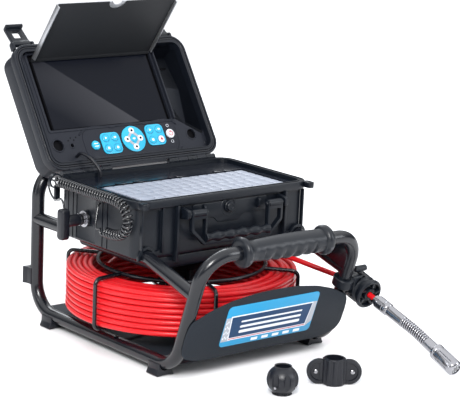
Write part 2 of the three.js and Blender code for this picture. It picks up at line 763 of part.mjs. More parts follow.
function base(parent) {
  piece(parent, 'case_base', 'plastic', baseShell());
  piece(parent, 'keyboard_tray', 'panel', keyboardTray());
  piece(parent, 'keyboard', 'white', keyboard());
  piece(parent, 'battery_pack', 'rubber', box(-112, -24, -72, 4, LOWER_POCKET.floor + GAP, 174));
  piece(parent, 'recorder_board', 'board', box(0, 112, -80, 22, 150, 152));
  piece(parent, 'carry_handle', 'plastic', carryHandle());
  const valve = turned([[0, 0], [9, 0], [9, 5], [6.5, 8], [0, 8]]).rotateX(Math.PI / 2);
  const valveY = CASE_FRONT + RIM_OVERHANG - GAP;
  piece(parent, 'pressure_valve', 'plastic', valve.translate(5, valveY, 218.5));
  for (const [side, sign] of [['left', -1], ['right', 1]]) {
    const [near, far] = [sign * (KNUCKLE.start + 1), sign * (KNUCKLE.start + 89)];
    const pin = cylinder('x', PIN_RADIUS, near, far, HINGE_Y, HINGE_Z, 12);
    piece(parent, `${side}_hinge_pin`, 'steel', pin);
  }
  piece(parent, 'side_socket', 'steel', sideSocket());
  piece(parent, 'side_plug', 'rubber', sidePlug());
  piece(parent, 'plug_lead', 'rubber', smoothTube(PLUG_LEAD, 1.5, 28, 8));
  piece(parent, 'curly_cord', 'rubber', smoothTube(CURLY_ROUTE, 8, 26, 12));
  piece(parent, 'cord_tail', 'rubber', smoothTube(TAIL_ROUTE, 1.5, 12, 8));
}

// ---------------------------------------------------------------- lid, monitor and visor

function lidOutline(inset, radius) {
  const half = CASE_WIDTH / 2 - inset;
  return roundedRect(-half, half, LID_NEAR + inset, LID_FAR - inset, radius);
}

function sealRing(grow) {
  const outer = slab(lidOutline(4 - grow, 22), -3 - grow, -1 + 4 * grow);
  return cut(outer, slab(lidOutline(7.5 + grow, 18), -10, 5));
}

function lidShell() {
  const shell = slab(lidOutline(0, CASE_CORNER), -GAP - LID_DEPTH, -GAP, 3);
  const pocket = slab(lidOutline(LID_RIM, CASE_CORNER - LID_RIM), -GAP - LID_DEPTH + 5, 5);
  const parts = [];
  for (const [x0, x1] of knuckleSpans(true)) {
    parts.push(box(x0, x1, 0, LID_NEAR + 3, -8, -0.8));
    parts.push(cylinder('x', KNUCKLE_RADIUS, x0, x1, 0, 0, 16));
  }
  for (const x of Object.values(LATCH_XS)) {
    for (const side of [-1, 1]) {
      const near = x + side * (LATCH.width / 2 + 0.5);
      const far = near + side * 4;
      parts.push(box(near, far, LID_FAR - 3, LATCH.y + 4, LATCH.z - 5, LATCH.z + 5));
    }
  }
  const cuts = [cylinder('x', PIN_RADIUS + GAP, -200, 200, 0, 0, 12), sealRing(GAP)];
  for (const [x0, x1] of knuckleSpans(false)) {
    cuts.push(cylinder('x', KNUCKLE_RADIUS + 1, x0 - 0.3, x1 + 0.3, 0, 0, 16));
  }
  return cut(join(cut(shell, pocket), ...parts), ...cuts);
}

const STORAGE = { x0: 101, x1: 150, y0: 44, y1: 201 };

function fascia() {
  const plate = slab(lidOutline(LID_RIM + 0.5, CASE_CORNER - LID_RIM - 0.5), FASCIA_Z - 3, FASCIA_Z);
  const window = slab(roundedRect(-134, 94, 73, 199, 2), -30, 5);
  const { x0, x1, y0, y1 } = STORAGE;
  const pocket = slab(polygon([[x0, y0 + 30], [x1 - 6, y0], [x1, y0 + 4], [x1, y1], [x0, y1]]), -30, 5);
  const holes = [[-128, 48.7, 9], [124, 45, 8], [-103.6, 46.3, 3]].map(([x, y, radius]) => (
    cylinder('z', radius, -30, 5, x, y, 16)
  ));
  return cut(plate, window, pocket, ...holes);
}

function keypadOutline() {
  return roundedRect(-82, 97, 21, 70, 16);
}

// Each key pad's x range, y range and corner radius on the lid.
const KEYS = {
  menu_key: [-69.5, -54.5, 35, 50, 7.4],
  left_keys: [-50.5, -15, 26, 61, 10],
  centre_keys: [-11, 32, 25, 68, 21.4],
  right_keys: [36.5, 71, 32, 67, 10],
  power_key: [75.5, 90.5, 41.5, 56.5, 7.4],
};

function keyOutline([x0, x1, y0, y1, radius], grow) {
  return roundedRect(x0 - grow, x1 + grow, y0 - grow, y1 + grow, radius + grow);
}

function keypadPanel() {
  const holes = Object.values(KEYS).map((key) => slab(keyOutline(key, 0.4), -30, 5));
  return cut(slab(keypadOutline(), FASCIA_Z + GAP, KEYPAD_Z), ...holes);
}

function visorPlate() {
  const { width, length, notch: notchRadius } = VISOR;
  const half = width / 2;
  const plate = slab(roundedRect(-half, half, 3.5, length, 2), -1.5, 1.5);
  const parts = [plate];
  for (const side of [-1, 1]) {
    parts.push(box(side * half, side * (half - 2.5), 6, length - 2, 0, 7));
  }
  parts.push(box(-half, half, -3, 4.2, -1.5, 1.5));
  const notch = cylinder('z', notchRadius, -10, 10, 0, length + 2, 24);
  return cut(join(...parts), notch);
}

function latch() {
  const { width, length } = LATCH;
  const half = width / 2;
  const barrel = cylinder('x', 4, -half, half, 0, 0, 16);
  const lever = box(-half, half, 0, length, -2.5, 2.5);
  const lip = box(-half, half, length - 5, length, 0, 9.5);
  const window = box(-half + 7, half - 7, 12, length - 9, -5, 5);
  return cut(join(barrel, lever, lip), window);
}

function lidGroup(parent) {
  const lid = new THREE.Group();
  lid.position.set(0, HINGE_Y, HINGE_Z);
  lid.rotation.x = THREE.MathUtils.degToRad(90 - LID_LEAN_DEG);
  parent.add(lid);
  piece(lid, 'lid_shell', 'plastic', lidShell());
  piece(lid, 'lid_seal', 'rubber', sealRing(0));
  piece(lid, 'monitor_fascia', 'panel', fascia());
  const { x, width, low, high } = SCREEN;
  piece(lid, 'lcd_screen', 'screen', box(x - width / 2, x + width / 2, low, high, FASCIA_Z - 6, FASCIA_Z));
  piece(lid, 'keypad_panel', 'panel', keypadPanel());
  for (const [name, key] of Object.entries(KEYS)) {
    const look = name === 'power_key' ? 'white' : 'blue';
    piece(lid, name, look, slab(keyOutline(key, 0), KEY_BOTTOM, KEY_TOP));
  }
  const visor = piece(lid, 'visor', 'silver', visorPlate());
  visor.position.set(x, VISOR.y, VISOR.z);
  visor.rotation.x = THREE.MathUtils.degToRad(LID_LEAN_DEG + VISOR.leanDeg);
  for (const [name, at] of Object.entries(LATCH_XS)) {
    const lever = piece(lid, name, 'plastic', latch());
    lever.position.set(at, LATCH.y, LATCH.z);
    lever.rotation.x = THREE.MathUtils.degToRad(LATCH.tiltDeg);
  }
}

// The lead between the lid and the base, with slack for the lid's swing.
const LID_LEAD = [
  [-103, 134, 259.8], [-102, 125, 266], [-98, 112, 263.5], [-93, 101, 255], [-90, 93, 246],
  [-89, 91, DECK.top + 4], [-89, 91, DECK.top + GAP],
];

// ---------------------------------------------------------------- loose skids

const BALL_SKID = { x: -52, y: -298, radius: 22, height: 40, bore: 12 };
const WING_SKID = {
  x: 38, y: -305, height: 38, bore: 11.8, collar: 16, wing: 18, offset: 21, turnDeg: -36,
};

function ballSkid() {
  const { radius, height, bore } = BALL_SKID;
  const profile = [[bore, 0], [14, 0]];
  for (let i = 1; i < 8; i += 1) {
    const z = height * i / 8;
    const r = Math.sqrt(radius * radius - (z - height / 2) ** 2) + 4.5 * (1 - i / 8) * (i / 8);
    profile.push([Math.min(r, radius + 0.5), z]);
  }
  profile.push([15, height], [bore, height], [bore, 0]);
  const flutes = [];
  for (let i = 0; i < 8; i += 1) {
    const flute = cylinder('z', 4.5, 5, height - 6, radius + 1.5, 0, 8);
    flutes.push(flute.rotateZ((i + 0.5) * Math.PI / 4));
  }
  return cut(turned(profile, 16), ...flutes);
}

function wingSkid() {
  const { height, bore, collar, wing, offset } = WING_SKID;
  const parts = [cylinder('z', collar, 0, height, 0, 0)];
  for (const side of [-1, 1]) {
    const disc = cylinder('y', wing, -3, 3, side * offset, wing);
    parts.push(disc, box(0, side * offset, -3, 3, 4, height - 2));
  }
  return cut(join(...parts), cylinder('z', bore, -5, 60, 0, 0));
}

// ---------------------------------------------------------------- assembly

const camera = new THREE.Group();
camera.name = 'inspection_camera';
carrier(camera);
reel(camera);
guideAndCamera(camera);
base(camera);
lidGroup(camera);
piece(camera, 'lid_lead', 'rubber', smoothTube(LID_LEAD, 2.5, 20, 8));
piece(camera, 'ball_skid', 'rubber', ballSkid()).position.set(BALL_SKID.x, BALL_SKID.y, 0);
const wings = piece(camera, 'wing_skid', 'rubber', wingSkid());
wings.position.set(WING_SKID.x, WING_SKID.y, 0);
wings.rotation.z = THREE.MathUtils.degToRad(WING_SKID.turnDeg);

// The origin is the bottom centre of the object without its plug cord.
const CORD_NAMES = ['side_plug', 'plug_lead', 'curly_cord', 'cord_tail'];

function boundsWithoutCord(group) {
  const bounds = new THREE.Box3();
  group.updateMatrixWorld(true);
  group.traverse((node) => {
    if (node.isMesh && !CORD_NAMES.includes(node.name)) bounds.expandByObject(node, true);
  });
  return bounds;
}

const bounds = boundsWithoutCord(camera);
const centre = bounds.getCenter(new THREE.Vector3());
camera.position.set(-centre.x, -centre.y, -bounds.min.z);

export default camera;
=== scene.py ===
"""Looks of the pipe inspection camera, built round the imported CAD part.

Lengths below are millimetres in the builder's own axes, where the reel turns about x = 0, y = 0.
put() turns them into the row frame's metres.
"""

import math

import bmesh
import bpy
from mathutils import Matrix, Vector, noise


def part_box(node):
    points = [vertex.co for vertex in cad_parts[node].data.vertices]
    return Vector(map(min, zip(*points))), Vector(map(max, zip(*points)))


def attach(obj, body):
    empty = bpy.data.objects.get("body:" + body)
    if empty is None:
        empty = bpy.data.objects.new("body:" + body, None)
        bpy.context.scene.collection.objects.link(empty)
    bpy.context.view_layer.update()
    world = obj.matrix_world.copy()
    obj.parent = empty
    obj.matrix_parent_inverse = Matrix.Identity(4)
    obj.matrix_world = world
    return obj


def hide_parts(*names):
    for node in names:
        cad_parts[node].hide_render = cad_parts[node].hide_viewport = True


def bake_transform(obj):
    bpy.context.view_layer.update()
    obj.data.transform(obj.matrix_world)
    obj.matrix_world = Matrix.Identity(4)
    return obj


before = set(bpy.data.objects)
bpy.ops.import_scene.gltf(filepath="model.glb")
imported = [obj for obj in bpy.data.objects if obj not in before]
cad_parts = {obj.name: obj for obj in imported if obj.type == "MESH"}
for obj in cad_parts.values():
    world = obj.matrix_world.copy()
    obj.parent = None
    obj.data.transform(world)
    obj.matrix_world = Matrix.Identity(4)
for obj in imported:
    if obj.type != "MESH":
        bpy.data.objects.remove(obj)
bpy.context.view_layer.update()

# The reel's axis in the row frame, measured from the reel's own box.
hub_low, hub_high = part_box("reel_hub")
SHIFT = Vector(((hub_low.x + hub_high.x) * 500, (hub_low.y + hub_high.y) * 500, 0))

# Carrier tube: its radius, the lines of its legs and rails, and its heights.
TUBE = 10
RAIL_X = 142
FRONT_Y = -172
REAR_Y = 177
FLOOR_Z = 18
MID_Z = 160
REAR_TOP_Z = 237
HANDLE_Y, HANDLE_Z = -230.5, 188
LIP_GAP = 10.5

# Lid, rod guide and camera head.
HINGE = Vector((0, 111.5, 241.3))
LID_LEAN = math.radians(33.65)
VISOR_LEAN = LID_LEAN + math.radians(35.8)
FASCIA_Z = -9.7
GUIDE = Vector((178, -185, 102))
DROP = math.radians(17.5)
BEND = math.radians(5)
COUPLING_AT, SPRING_AT, BEND_AT, HEAD_END = 54.5, 86.8, 142.3, 92.3

# TO_X and TO_Y lay a shape that stands along Z along that axis instead.
TO_X = Matrix(((0, 0, 1, 0), (1, 0, 0, 0), (0, 1, 0, 0), (0, 0, 0, 1)))
TO_Y = Matrix(((0, 1, 0, 0), (0, 0, 1, 0), (1, 0, 0, 0), (0, 0, 0, 1)))
LID = Matrix.Translation(HINGE) @ Matrix.Rotation(math.pi / 2 - LID_LEAN, 4, "X")
ROD = Matrix.Translation(GUIDE) @ Matrix.Rotation(math.pi / 2 + DROP, 4, "X")
HEAD = ROD @ Matrix.Translation((0, 0, BEND_AT)) @ Matrix.Rotation(BEND, 4, "X")
LEAN = Vector((0, HANDLE_Y - FRONT_Y, HANDLE_Z - FLOOR_Z)).normalized()
LIP = Matrix.Translation((0, FRONT_Y - LEAN.z * LIP_GAP, FLOOR_Z + LEAN.y * LIP_GAP)) @ Matrix.Rotation(
    math.atan2(LEAN.z, LEAN.y), 4, "X"
)


# ------------------------------------------------------------------ materials

M = {}


def add_node(tree, kind, inputs=None, **settings):
    """A new shader node. Each input takes a value or another node's output."""
    made = tree.nodes.new("ShaderNode" + kind)
    for name, value in settings.items():
        setattr(made, name, value)
    for name, value in (inputs or {}).items():
        if isinstance(value, bpy.types.NodeSocket):
            tree.links.new(value, made.inputs[name])
        else:
            made.inputs[name].default_value = value
    return made


def ranged(tree, value, low, high, at_low, at_high):
    """Maps low to at_low and high to at_high, and holds those ends beyond them."""
    inputs = {"Value": value, "From Min": low, "From Max": high, "To Min": at_low, "To Max": at_high}
    return add_node(tree, "MapRange", inputs).outputs["Result"]


def material(name, color, rough, metal=0.0, coat=0.0, grain=0.0, grain_size=900.0, shine=0.5):
    """A painted, moulded or metal finish, kept in M. Grain roughens it finely and dulls it in patches."""
    mat = bpy.data.materials.new(name)
    mat.use_nodes = True
    tree = mat.node_tree
    shader = tree.nodes["Principled BSDF"]
    for key, value in {
        "Base Color": (*color, 1), "Roughness": rough, "Metallic": metal, "Specular IOR Level": shine,
        "Coat Weight": coat, "Coat Roughness": 0.12,
    }.items():
        shader.inputs[key].default_value = value
    if grain:
        place = add_node(tree, "TexCoord").outputs["Object"]
        fine = add_node(tree, "TexNoise", {"Scale": grain_size, "Detail": 3, "Vector": place})
        height = fine.outputs["Fac"]
        bump = add_node(tree, "Bump", {"Strength": grain, "Distance": 0.0004, "Height": height})
        tree.links.new(bump.outputs["Normal"], shader.inputs["Normal"])
        broad = add_node(tree, "TexNoise", {"Scale": 22, "Detail": 5, "Vector": place})
        dulled = ranged(tree, broad.outputs["Fac"], 0, 1, rough - 0.04, rough + 0.04)
        tree.links.new(dulled, shader.inputs["Roughness"])
    M[name] = mat
    return mat


material("frame_paint", (0.004, 0.005, 0.008), 0.24, grain=0.05)
material("case_plastic", (0.004, 0.006, 0.010), 0.38, grain=0.25, shine=0.30)
material("lid_plastic", (0.006, 0.008, 0.013), 0.40, grain=0.25, shine=0.30)
material("panel_plastic", (0.012, 0.014, 0.021), 0.52, grain=0.25, shine=0.24)
material("deck_gloss", (0.004, 0.006, 0.012), 0.22, grain=0.05)
material("overlay", (0.010, 0.012, 0.019), 0.40, grain=0.1, shine=0.24)
material("black_rubber", (0.005, 0.006, 0.010), 0.36, grain=0.2, shine=0.4)
material("grip_rubber", (0.006, 0.008, 0.012), 0.34, grain=0.15, shine=0.36)
material("cord_rubber", (0.006, 0.007, 0.010), 0.20, shine=0.9)
material("tray_sheet", (0.014, 0.018, 0.024), 0.62, grain=0.3, grain_size=1400, shine=0.16)
material("rod_red", (0.62, 0.008, 0.013), 0.30, shine=0.36)
material("key_white", (0.31, 0.34, 0.41), 0.45, grain=0.05)
# Painted shade: the keyboard's white base gets a darker colour, standing for shade in the gaps between the
# keys.
material("key_gap", (0.10, 0.11, 0.15), 0.6)
material("key_blue", (0.014, 0.40, 0.62), 0.32)
material("pad_blue", (0.008, 0.24, 0.42), 0.30)
material("print_white", (0.72, 0.74, 0.78), 0.40)
material("print_navy", (0.003, 0.036, 0.105), 0.34, shine=0.3)
material("print_sky", (0.020, 0.27, 0.50), 0.34, shine=0.3)
material("print_grey", (0.36, 0.38, 0.42), 0.40)
material("print_red", (0.46, 0.03, 0.05), 0.36)
material("steel", (0.34, 0.34, 0.36), 0.22, metal=1.0, grain=0.05, grain_size=1600)
material("dark_steel", (0.10, 0.10, 0.11), 0.40, metal=1.0)
material("visor_metal", (0.52, 0.53, 0.55), 0.32, metal=0.9)
material("visor_black", (0.010, 0.011, 0.013), 0.60, grain=0.15, shine=0.3)
# Matte near-black: used as painted shade in the socket holes and the storage slot, and as the colour of small
# black parts.
material("dark", (0.002, 0.002, 0.003), 0.7, shine=0.1)
material("lens_glass", (0.01, 0.012, 0.018), 0.05, coat=1.0)
material("circuit_board", (0.010, 0.10, 0.035), 0.45)


def screen_material():
    """Near-black glass with a painted reflection: a paler triangle, from its upper left corner to its lower
    middle.
    """
    tree = material("screen_glass", (0.003, 0.004, 0.007), 0.22, shine=0.12).node_tree
    split = add_node(tree, "SeparateXYZ", {"Vector": add_node(tree, "UVMap").outputs["UV"]})
    x, y = split.outputs["X"], split.outputs["Y"]
    # Painted reflection: the glass below the slanted line is mixed towards grey, most near that line and near
    # the bottom.
    line = add_node(tree, "Math", {0: x, 1: 1.52, 2: y}, operation="MULTIPLY_ADD").outputs[0]
    edge = ranged(tree, line, 1.135, 1.150, 1, 0)
    fade = ranged(tree, line, 0.35, 1.15, 0, 1)
    low = ranged(tree, y, 1.0, 0.0, 0.35, 1.0)
    inside = add_node(tree, "Math", {0: edge, 1: fade}, operation="MULTIPLY").outputs[0]
    painted_reflection = add_node(tree, "Math", {0: inside, 1: low}, operation="MULTIPLY").outputs[0]
    black, grey = (0.003, 0.004, 0.008, 1), (0.042, 0.043, 0.050, 1)
    colour = add_node(tree, "Mix", {"A": black, "B": grey, "Factor": painted_reflection}, data_type="RGBA")
    tree.links.new(colour.outputs["Result"], tree.nodes["Principled BSDF"].inputs["Base Color"])


screen_material()


# ------------------------------------------------------------------ meshes

def finished(name, bm, mats, angle=35):
    """A mesh object from a bmesh in row-frame metres, smooth except at edges sharper than angle."""
    bmesh.ops.recalc_face_normals(bm, faces=bm.faces)
    mesh = bpy.data.meshes.new(name)
    bm.to_mesh(mesh)
    bm.free()
    for mat in mats:
        mesh.materials.append(M[mat])
    mesh.polygons.foreach_set("use_smooth", [True] * len(mesh.polygons))
    mesh.set_sharp_from_angle(angle=math.radians(angle))
    obj = bpy.data.objects.new(name, mesh)
    bpy.context.scene.collection.objects.link(obj)
    return obj


def put(name, shape, body, slot, mat=None, nodes=(), place=Matrix.Identity(4), angle=35):
    """Makes shape, a bmesh in millimetres, into a piece of a body, standing for these CAD nodes."""
    shape.transform(Matrix.Scale(0.001, 4) @ Matrix.Translation(SHIFT) @ place)
    mats = [mat] if isinstance(mat, str) else (mat or [slot])
    obj = finished(name, shape, mats, angle)
    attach(obj, body)
    if nodes:
        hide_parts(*nodes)
    return obj


def merged(*shapes):
    """One bmesh holding all the shapes."""
    whole = bmesh.new()
    for shape in shapes:
        mesh = bpy.data.meshes.new("scratch")
        shape.to_mesh(mesh)
        shape.free()
        whole.from_mesh(mesh)
        bpy.data.meshes.remove(mesh)
    return whole


def moved(shape, *matrices):
    for matrix in matrices:
        shape.transform(matrix)
    return shape


def shift(x, y, z):
    return Matrix.Translation((x, y, z))


def in_frame(x, y, z):
    """The row frame's point, in metres, for a point in the builder's millimetres."""
    return (Vector((x, y, z)) + SHIFT) / 1000


def turn(degrees, axis):
    return Matrix.Rotation(math.radians(degrees), 4, axis)


def boolean(whole, tool, operation="DIFFERENCE"):
    """Cuts tool from whole, or joins it on, with the exact solver. Both are closed bmeshes."""
    objects = []
    for shape in (whole, tool):
        bmesh.ops.recalc_face_normals(shape, faces=shape.faces)
        mesh = bpy.data.meshes.new("scratch")
        shape.to_mesh(mesh)
        shape.free()
        obj = bpy.data.objects.new("scratch", mesh)
        bpy.context.scene.collection.objects.link(obj)
        objects.append(obj)
    change = objects[0].modifiers.new("cut", "BOOLEAN")
    change.operation = operation
    change.object = objects[1]
    change.solver = "EXACT"
    change.use_self = True
    graph = bpy.context.evaluated_depsgraph_get()
    result = bmesh.new()
    result.from_mesh(objects[0].evaluated_get(graph).to_mesh())
    for obj in objects:
        mesh = obj.data
        bpy.data.objects.remove(obj)
        bpy.data.meshes.remove(mesh)
    return result


def cut(whole, *tools):
    return boolean(whole, merged(*tools))


def join(whole, *others):
    return boolean(whole, merged(*others), "UNION")


def circle(radius, sides):
    """Points round the origin, anticlockwise from the x axis."""
    angles = [2 * math.pi * i / sides for i in range(sides)]
    return [(radius * math.cos(a), radius * math.sin(a)) for a in angles]


def arc(cx, cy, radius, start, end, steps=8):
    points = []
    for i in range(steps + 1):
        a = math.radians(start + (end - start) * i / steps)
        points.append((cx + radius * math.cos(a), cy + radius * math.sin(a)))
    return points


def corners(x0, x1, y0, y1):
    return [(x0, y0), (x1, y0), (x1, y1), (x0, y1)]


def rounded(x0, x1, y0, y1, radius, steps=8):
    """The outline of a rectangle with round corners."""
    r = min(radius, (x1 - x0) / 2, (y1 - y0) / 2)
    return (
        arc(x1 - r, y0 + r, r, -90, 0, steps)
        + arc(x1 - r, y1 - r, r, 0, 90, steps)
        + arc(x0 + r, y1 - r, r, 90, 180, steps)
        + arc(x0 + r, y0 + r, r, 180, 270, steps)
    )


def softened(points, radius, steps=5):
    """A polygon's outline with each corner rounded."""
    out = []
    count = len(points)
    for i in range(count):
        before, at, after = (Vector(points[(i + k) % count]) for k in (-1, 0, 1))
        a, b = (before - at), (after - at)
        reach = min(radius, a.length * 0.45, b.length * 0.45)
        start, end = at + a.normalized() * reach, at + b.normalized() * reach
        for k in range(steps + 1):
            t = k / steps
            p = start * (1 - t) ** 2 + at * 2 * t * (1 - t) + end * t * t
            out.append((p.x, p.y))
    return out


def prism(outline, z0, z1, bevel=0.0, segments=2):
    """A flat plate from an outline, with round edges along its top and bottom."""
    points = [outline[0]]
    for p in outline[1:]:
        if (Vector(p) - Vector(points[-1])).length > 1e-4:
            points.append(p)
    if (Vector(points[0]) - Vector(points[-1])).length < 1e-4:
        points.pop()
    bm = bmesh.new()
    low = [bm.verts.new((x, y, z0)) for x, y in points]
    high = [bm.verts.new((x, y, z1)) for x, y in points]
    count = len(points)
    caps = [bm.faces.new(low[::-1]), bm.faces.new(high)]
    for i in range(count):
        k = (i + 1) % count
        bm.faces.new((low[i], low[k], high[k], high[i]))
    bmesh.ops.recalc_face_normals(bm, faces=bm.faces)
    if bevel:
        edges = [e for cap in caps for e in cap.edges]
        bmesh.ops.bevel(
            bm, geom=edges, offset=bevel, segments=segments, profile=0.5, affect="EDGES",
            clamp_overlap=True,
        )
    return bm


def prism_y(outline, y0, y1, bevel=0.0):
    """A plate whose outline is drawn in x and z, from y0 to y1."""
    return moved(prism(outline, -y1, -y0, bevel), turn(90, "X"))


def prism_x(outline, x0, x1, bevel=0.0):
    """A plate whose outline is drawn in y and z, from x0 to x1."""
    return moved(prism(outline, x0, x1, bevel), TO_X)


def block(x0, x1, y0, y1, z0, z1, bevel=0.0, segments=2):
    """A box with all its edges rounded."""
    bm = bmesh.new()
    size = (abs(x1 - x0), abs(y1 - y0), abs(z1 - z0))
    middle = ((x0 + x1) / 2, (y0 + y1) / 2, (z0 + z1) / 2)
    bmesh.ops.create_cube(bm, size=1, matrix=shift(*middle) @ Matrix.Diagonal((*size, 1)))
    if bevel:
        bmesh.ops.bevel(
            bm, geom=bm.edges[:], offset=bevel, segments=segments, profile=0.5, affect="EDGES",
            clamp_overlap=True,
        )
    return bm


def lathe(profile, sides=48, closed=False):
    """A body of revolution about Z from (radius, z) points. Points on the axis become one vertex."""
    bm = bmesh.new()
    rings = []
    for r, z in profile:
        if r < 1e-6:
            rings.append([bm.verts.new((0, 0, z))])
        else:
            rings.append([bm.verts.new((x, y, z)) for x, y in circle(r, sides)])
    pairs = list(zip(rings, rings[1:]))
    if closed:
        pairs.append((rings[-1], rings[0]))
    for a, b in pairs:
        for i in range(sides):
            k = (i + 1) % sides
            if len(a) == 1 and len(b) == 1:
                continue
            if len(a) == 1:
                bm.faces.new((a[0], b[k], b[i]))
            elif len(b) == 1:
                bm.faces.new((a[i], a[k], b[0]))
            else:
                bm.faces.new((a[i], a[k], b[k], b[i]))
    return bm


def rod(axis, radius, start, end, u, v, sides=24, bevel=0.0):
    """A cylinder along x, y or z. u and v are its other two coordinates."""
    profile = [(0, start), (radius, start), (radius, end), (0, end)]
    if bevel:
        inner = radius - bevel
        low, high = start + bevel, end - bevel
        profile = [(0, start), (inner, start), (radius, low), (radius, high), (inner, end), (0, end)]
    places = {"x": shift(0, u, v) @ TO_X, "y": shift(u, 0, v) @ TO_Y, "z": shift(u, v, 0)}
    return moved(lathe(profile, sides), places[axis])


def bent(corners, radii, closed=False, steps=12):
    """Points along straight runs joined by circular bends."""
    points = [Vector(c) for c in corners]
    count = len(points)
    if not isinstance(radii, (list, tuple)):
        radii = [radii] * count
    out = []
    for i, at in enumerate(points):
        if not closed and i in (0, count - 1):
            out.append(at)
            continue
        a = (points[i - 1] - at).normalized()
        b = (points[(i + 1) % count] - at).normalized()
        half = a.angle(b) / 2
        reach = radii[i] / math.tan(half)
        centre = at + (a + b).normalized() * (radii[i] / math.sin(half))
        start, end = at + a * reach - centre, at + b * reach - centre
        sweep = start.angle(end)
        for k in range(steps + 1):
            t = k / steps
            w0 = math.sin((1 - t) * sweep) / math.sin(sweep)
            w1 = math.sin(t * sweep) / math.sin(sweep)
            out.append(centre + start * w0 + end * w1)
    return out


def smooth(points, per=10):
    """A centripetal curve through the points."""
    p = [Vector(q) for q in points]
    p = [p[0] * 2 - p[1], *p, p[-1] * 2 - p[-2]]
    out = []
    for i in range(1, len(p) - 2):
        ks = [0.0]
        for j in range(3):
            ks.append(ks[-1] + math.sqrt((p[i + j] - p[i + j - 1]).length))
        for s in range(per):
            t = ks[1] + (ks[2] - ks[1]) * s / per
            a = [
                p[i - 1 + j] * ((ks[j + 1] - t) / (ks[j + 1] - ks[j]))
                + p[i + j] * ((t - ks[j]) / (ks[j + 1] - ks[j]))
                for j in range(3)
            ]
            b = [
                a[j] * ((ks[j + 2] - t) / (ks[j + 2] - ks[j]))
                + a[j + 1] * ((t - ks[j]) / (ks[j + 2] - ks[j]))
                for j in range(2)
            ]
            out.append(b[0] * ((ks[2] - t) / (ks[2] - ks[1])) + b[1] * ((t - ks[1]) / (ks[2] - ks[1])))
    out.append(p[-2])
    return out


def swept(points, radius, sides=16, closed=False):
    """A round tube along a line of points."""
    pts = [Vector(p) for p in points]
    count = len(pts)
    bm = bmesh.new()
    rings = []
    side = None
    for i, p in enumerate(pts):
        if closed:
            tangent = pts[(i + 1) % count] - pts[i - 1]
        else:
            tangent = pts[min(i + 1, count - 1)] - pts[max(i - 1, 0)]
        tangent.normalize()
        if side is None:
            side = tangent.orthogonal().normalized()
        side = (side - tangent * side.dot(tangent)).normalized()
        other = tangent.cross(side)
        r = radius[i] if isinstance(radius, list) else radius
        rings.append([bm.verts.new(p + side * x + other * y) for x, y in circle(r, sides)])
    for a, b in zip(rings, rings[1:]):
        for k in range(sides):
            m = (k + 1) % sides
            bm.faces.new((a[k], a[m], b[m], b[k]))
    if closed:
        a, b = rings[-1], rings[0]
        near = min(range(sides), key=lambda k: (b[k].co - a[0].co).length)
        for k in range(sides):
            m = (k + 1) % sides
            bm.faces.new((a[k], a[m], b[(m + near) % sides], b[(k + near) % sides]))
    else:
        bm.faces.new(rings[0][::-1])
        bm.faces.new(rings[-1])
    return bm


def upright(x, z):
    """The point at height z on the leaning front leg at x."""
    return (x, FRONT_Y + LEAN.y * (z - FLOOR_Z) / LEAN.z, z)


# ------------------------------------------------------------------ carrier frame

def carrier_tube():
    """One closed tube round the tray, the rear hoop and the handle, and the two middle rails."""
    corner_list = [
        (-RAIL_X, FRONT_Y, FLOOR_Z, 46), (-RAIL_X, HANDLE_Y, HANDLE_Z, 42),
        (RAIL_X, HANDLE_Y, HANDLE_Z, 42), (RAIL_X, FRONT_Y, FLOOR_Z, 46),
        (RAIL_X, REAR_Y, FLOOR_Z, 46), (RAIL_X, REAR_Y, REAR_TOP_Z, 45),
        (-RAIL_X, REAR_Y, REAR_TOP_Z, 45), (-RAIL_X, REAR_Y, FLOOR_Z, 46),
    ]
    radii = [r for x, y, z, r in corner_list]
    route = bent([c[:3] for c in corner_list], radii, closed=True, steps=16)
    put("carrier_tube", swept(route, TUBE, 32, closed=True), "carrier", "frame_paint",
        nodes=["left_side_rail", "right_side_rail", "rear_top_bar", "handle_bar"])
    for side, x in (("left", -RAIL_X), ("right", RAIL_X)):
        route = bent([(x, REAR_Y, MID_Z), (x, -103, MID_Z), upright(x, 130)], 40, steps=12)
        put(f"{side}_mid_tube", swept(route, TUBE, 32), "carrier", "frame_paint",
            nodes=[f"{side}_mid_rail"])


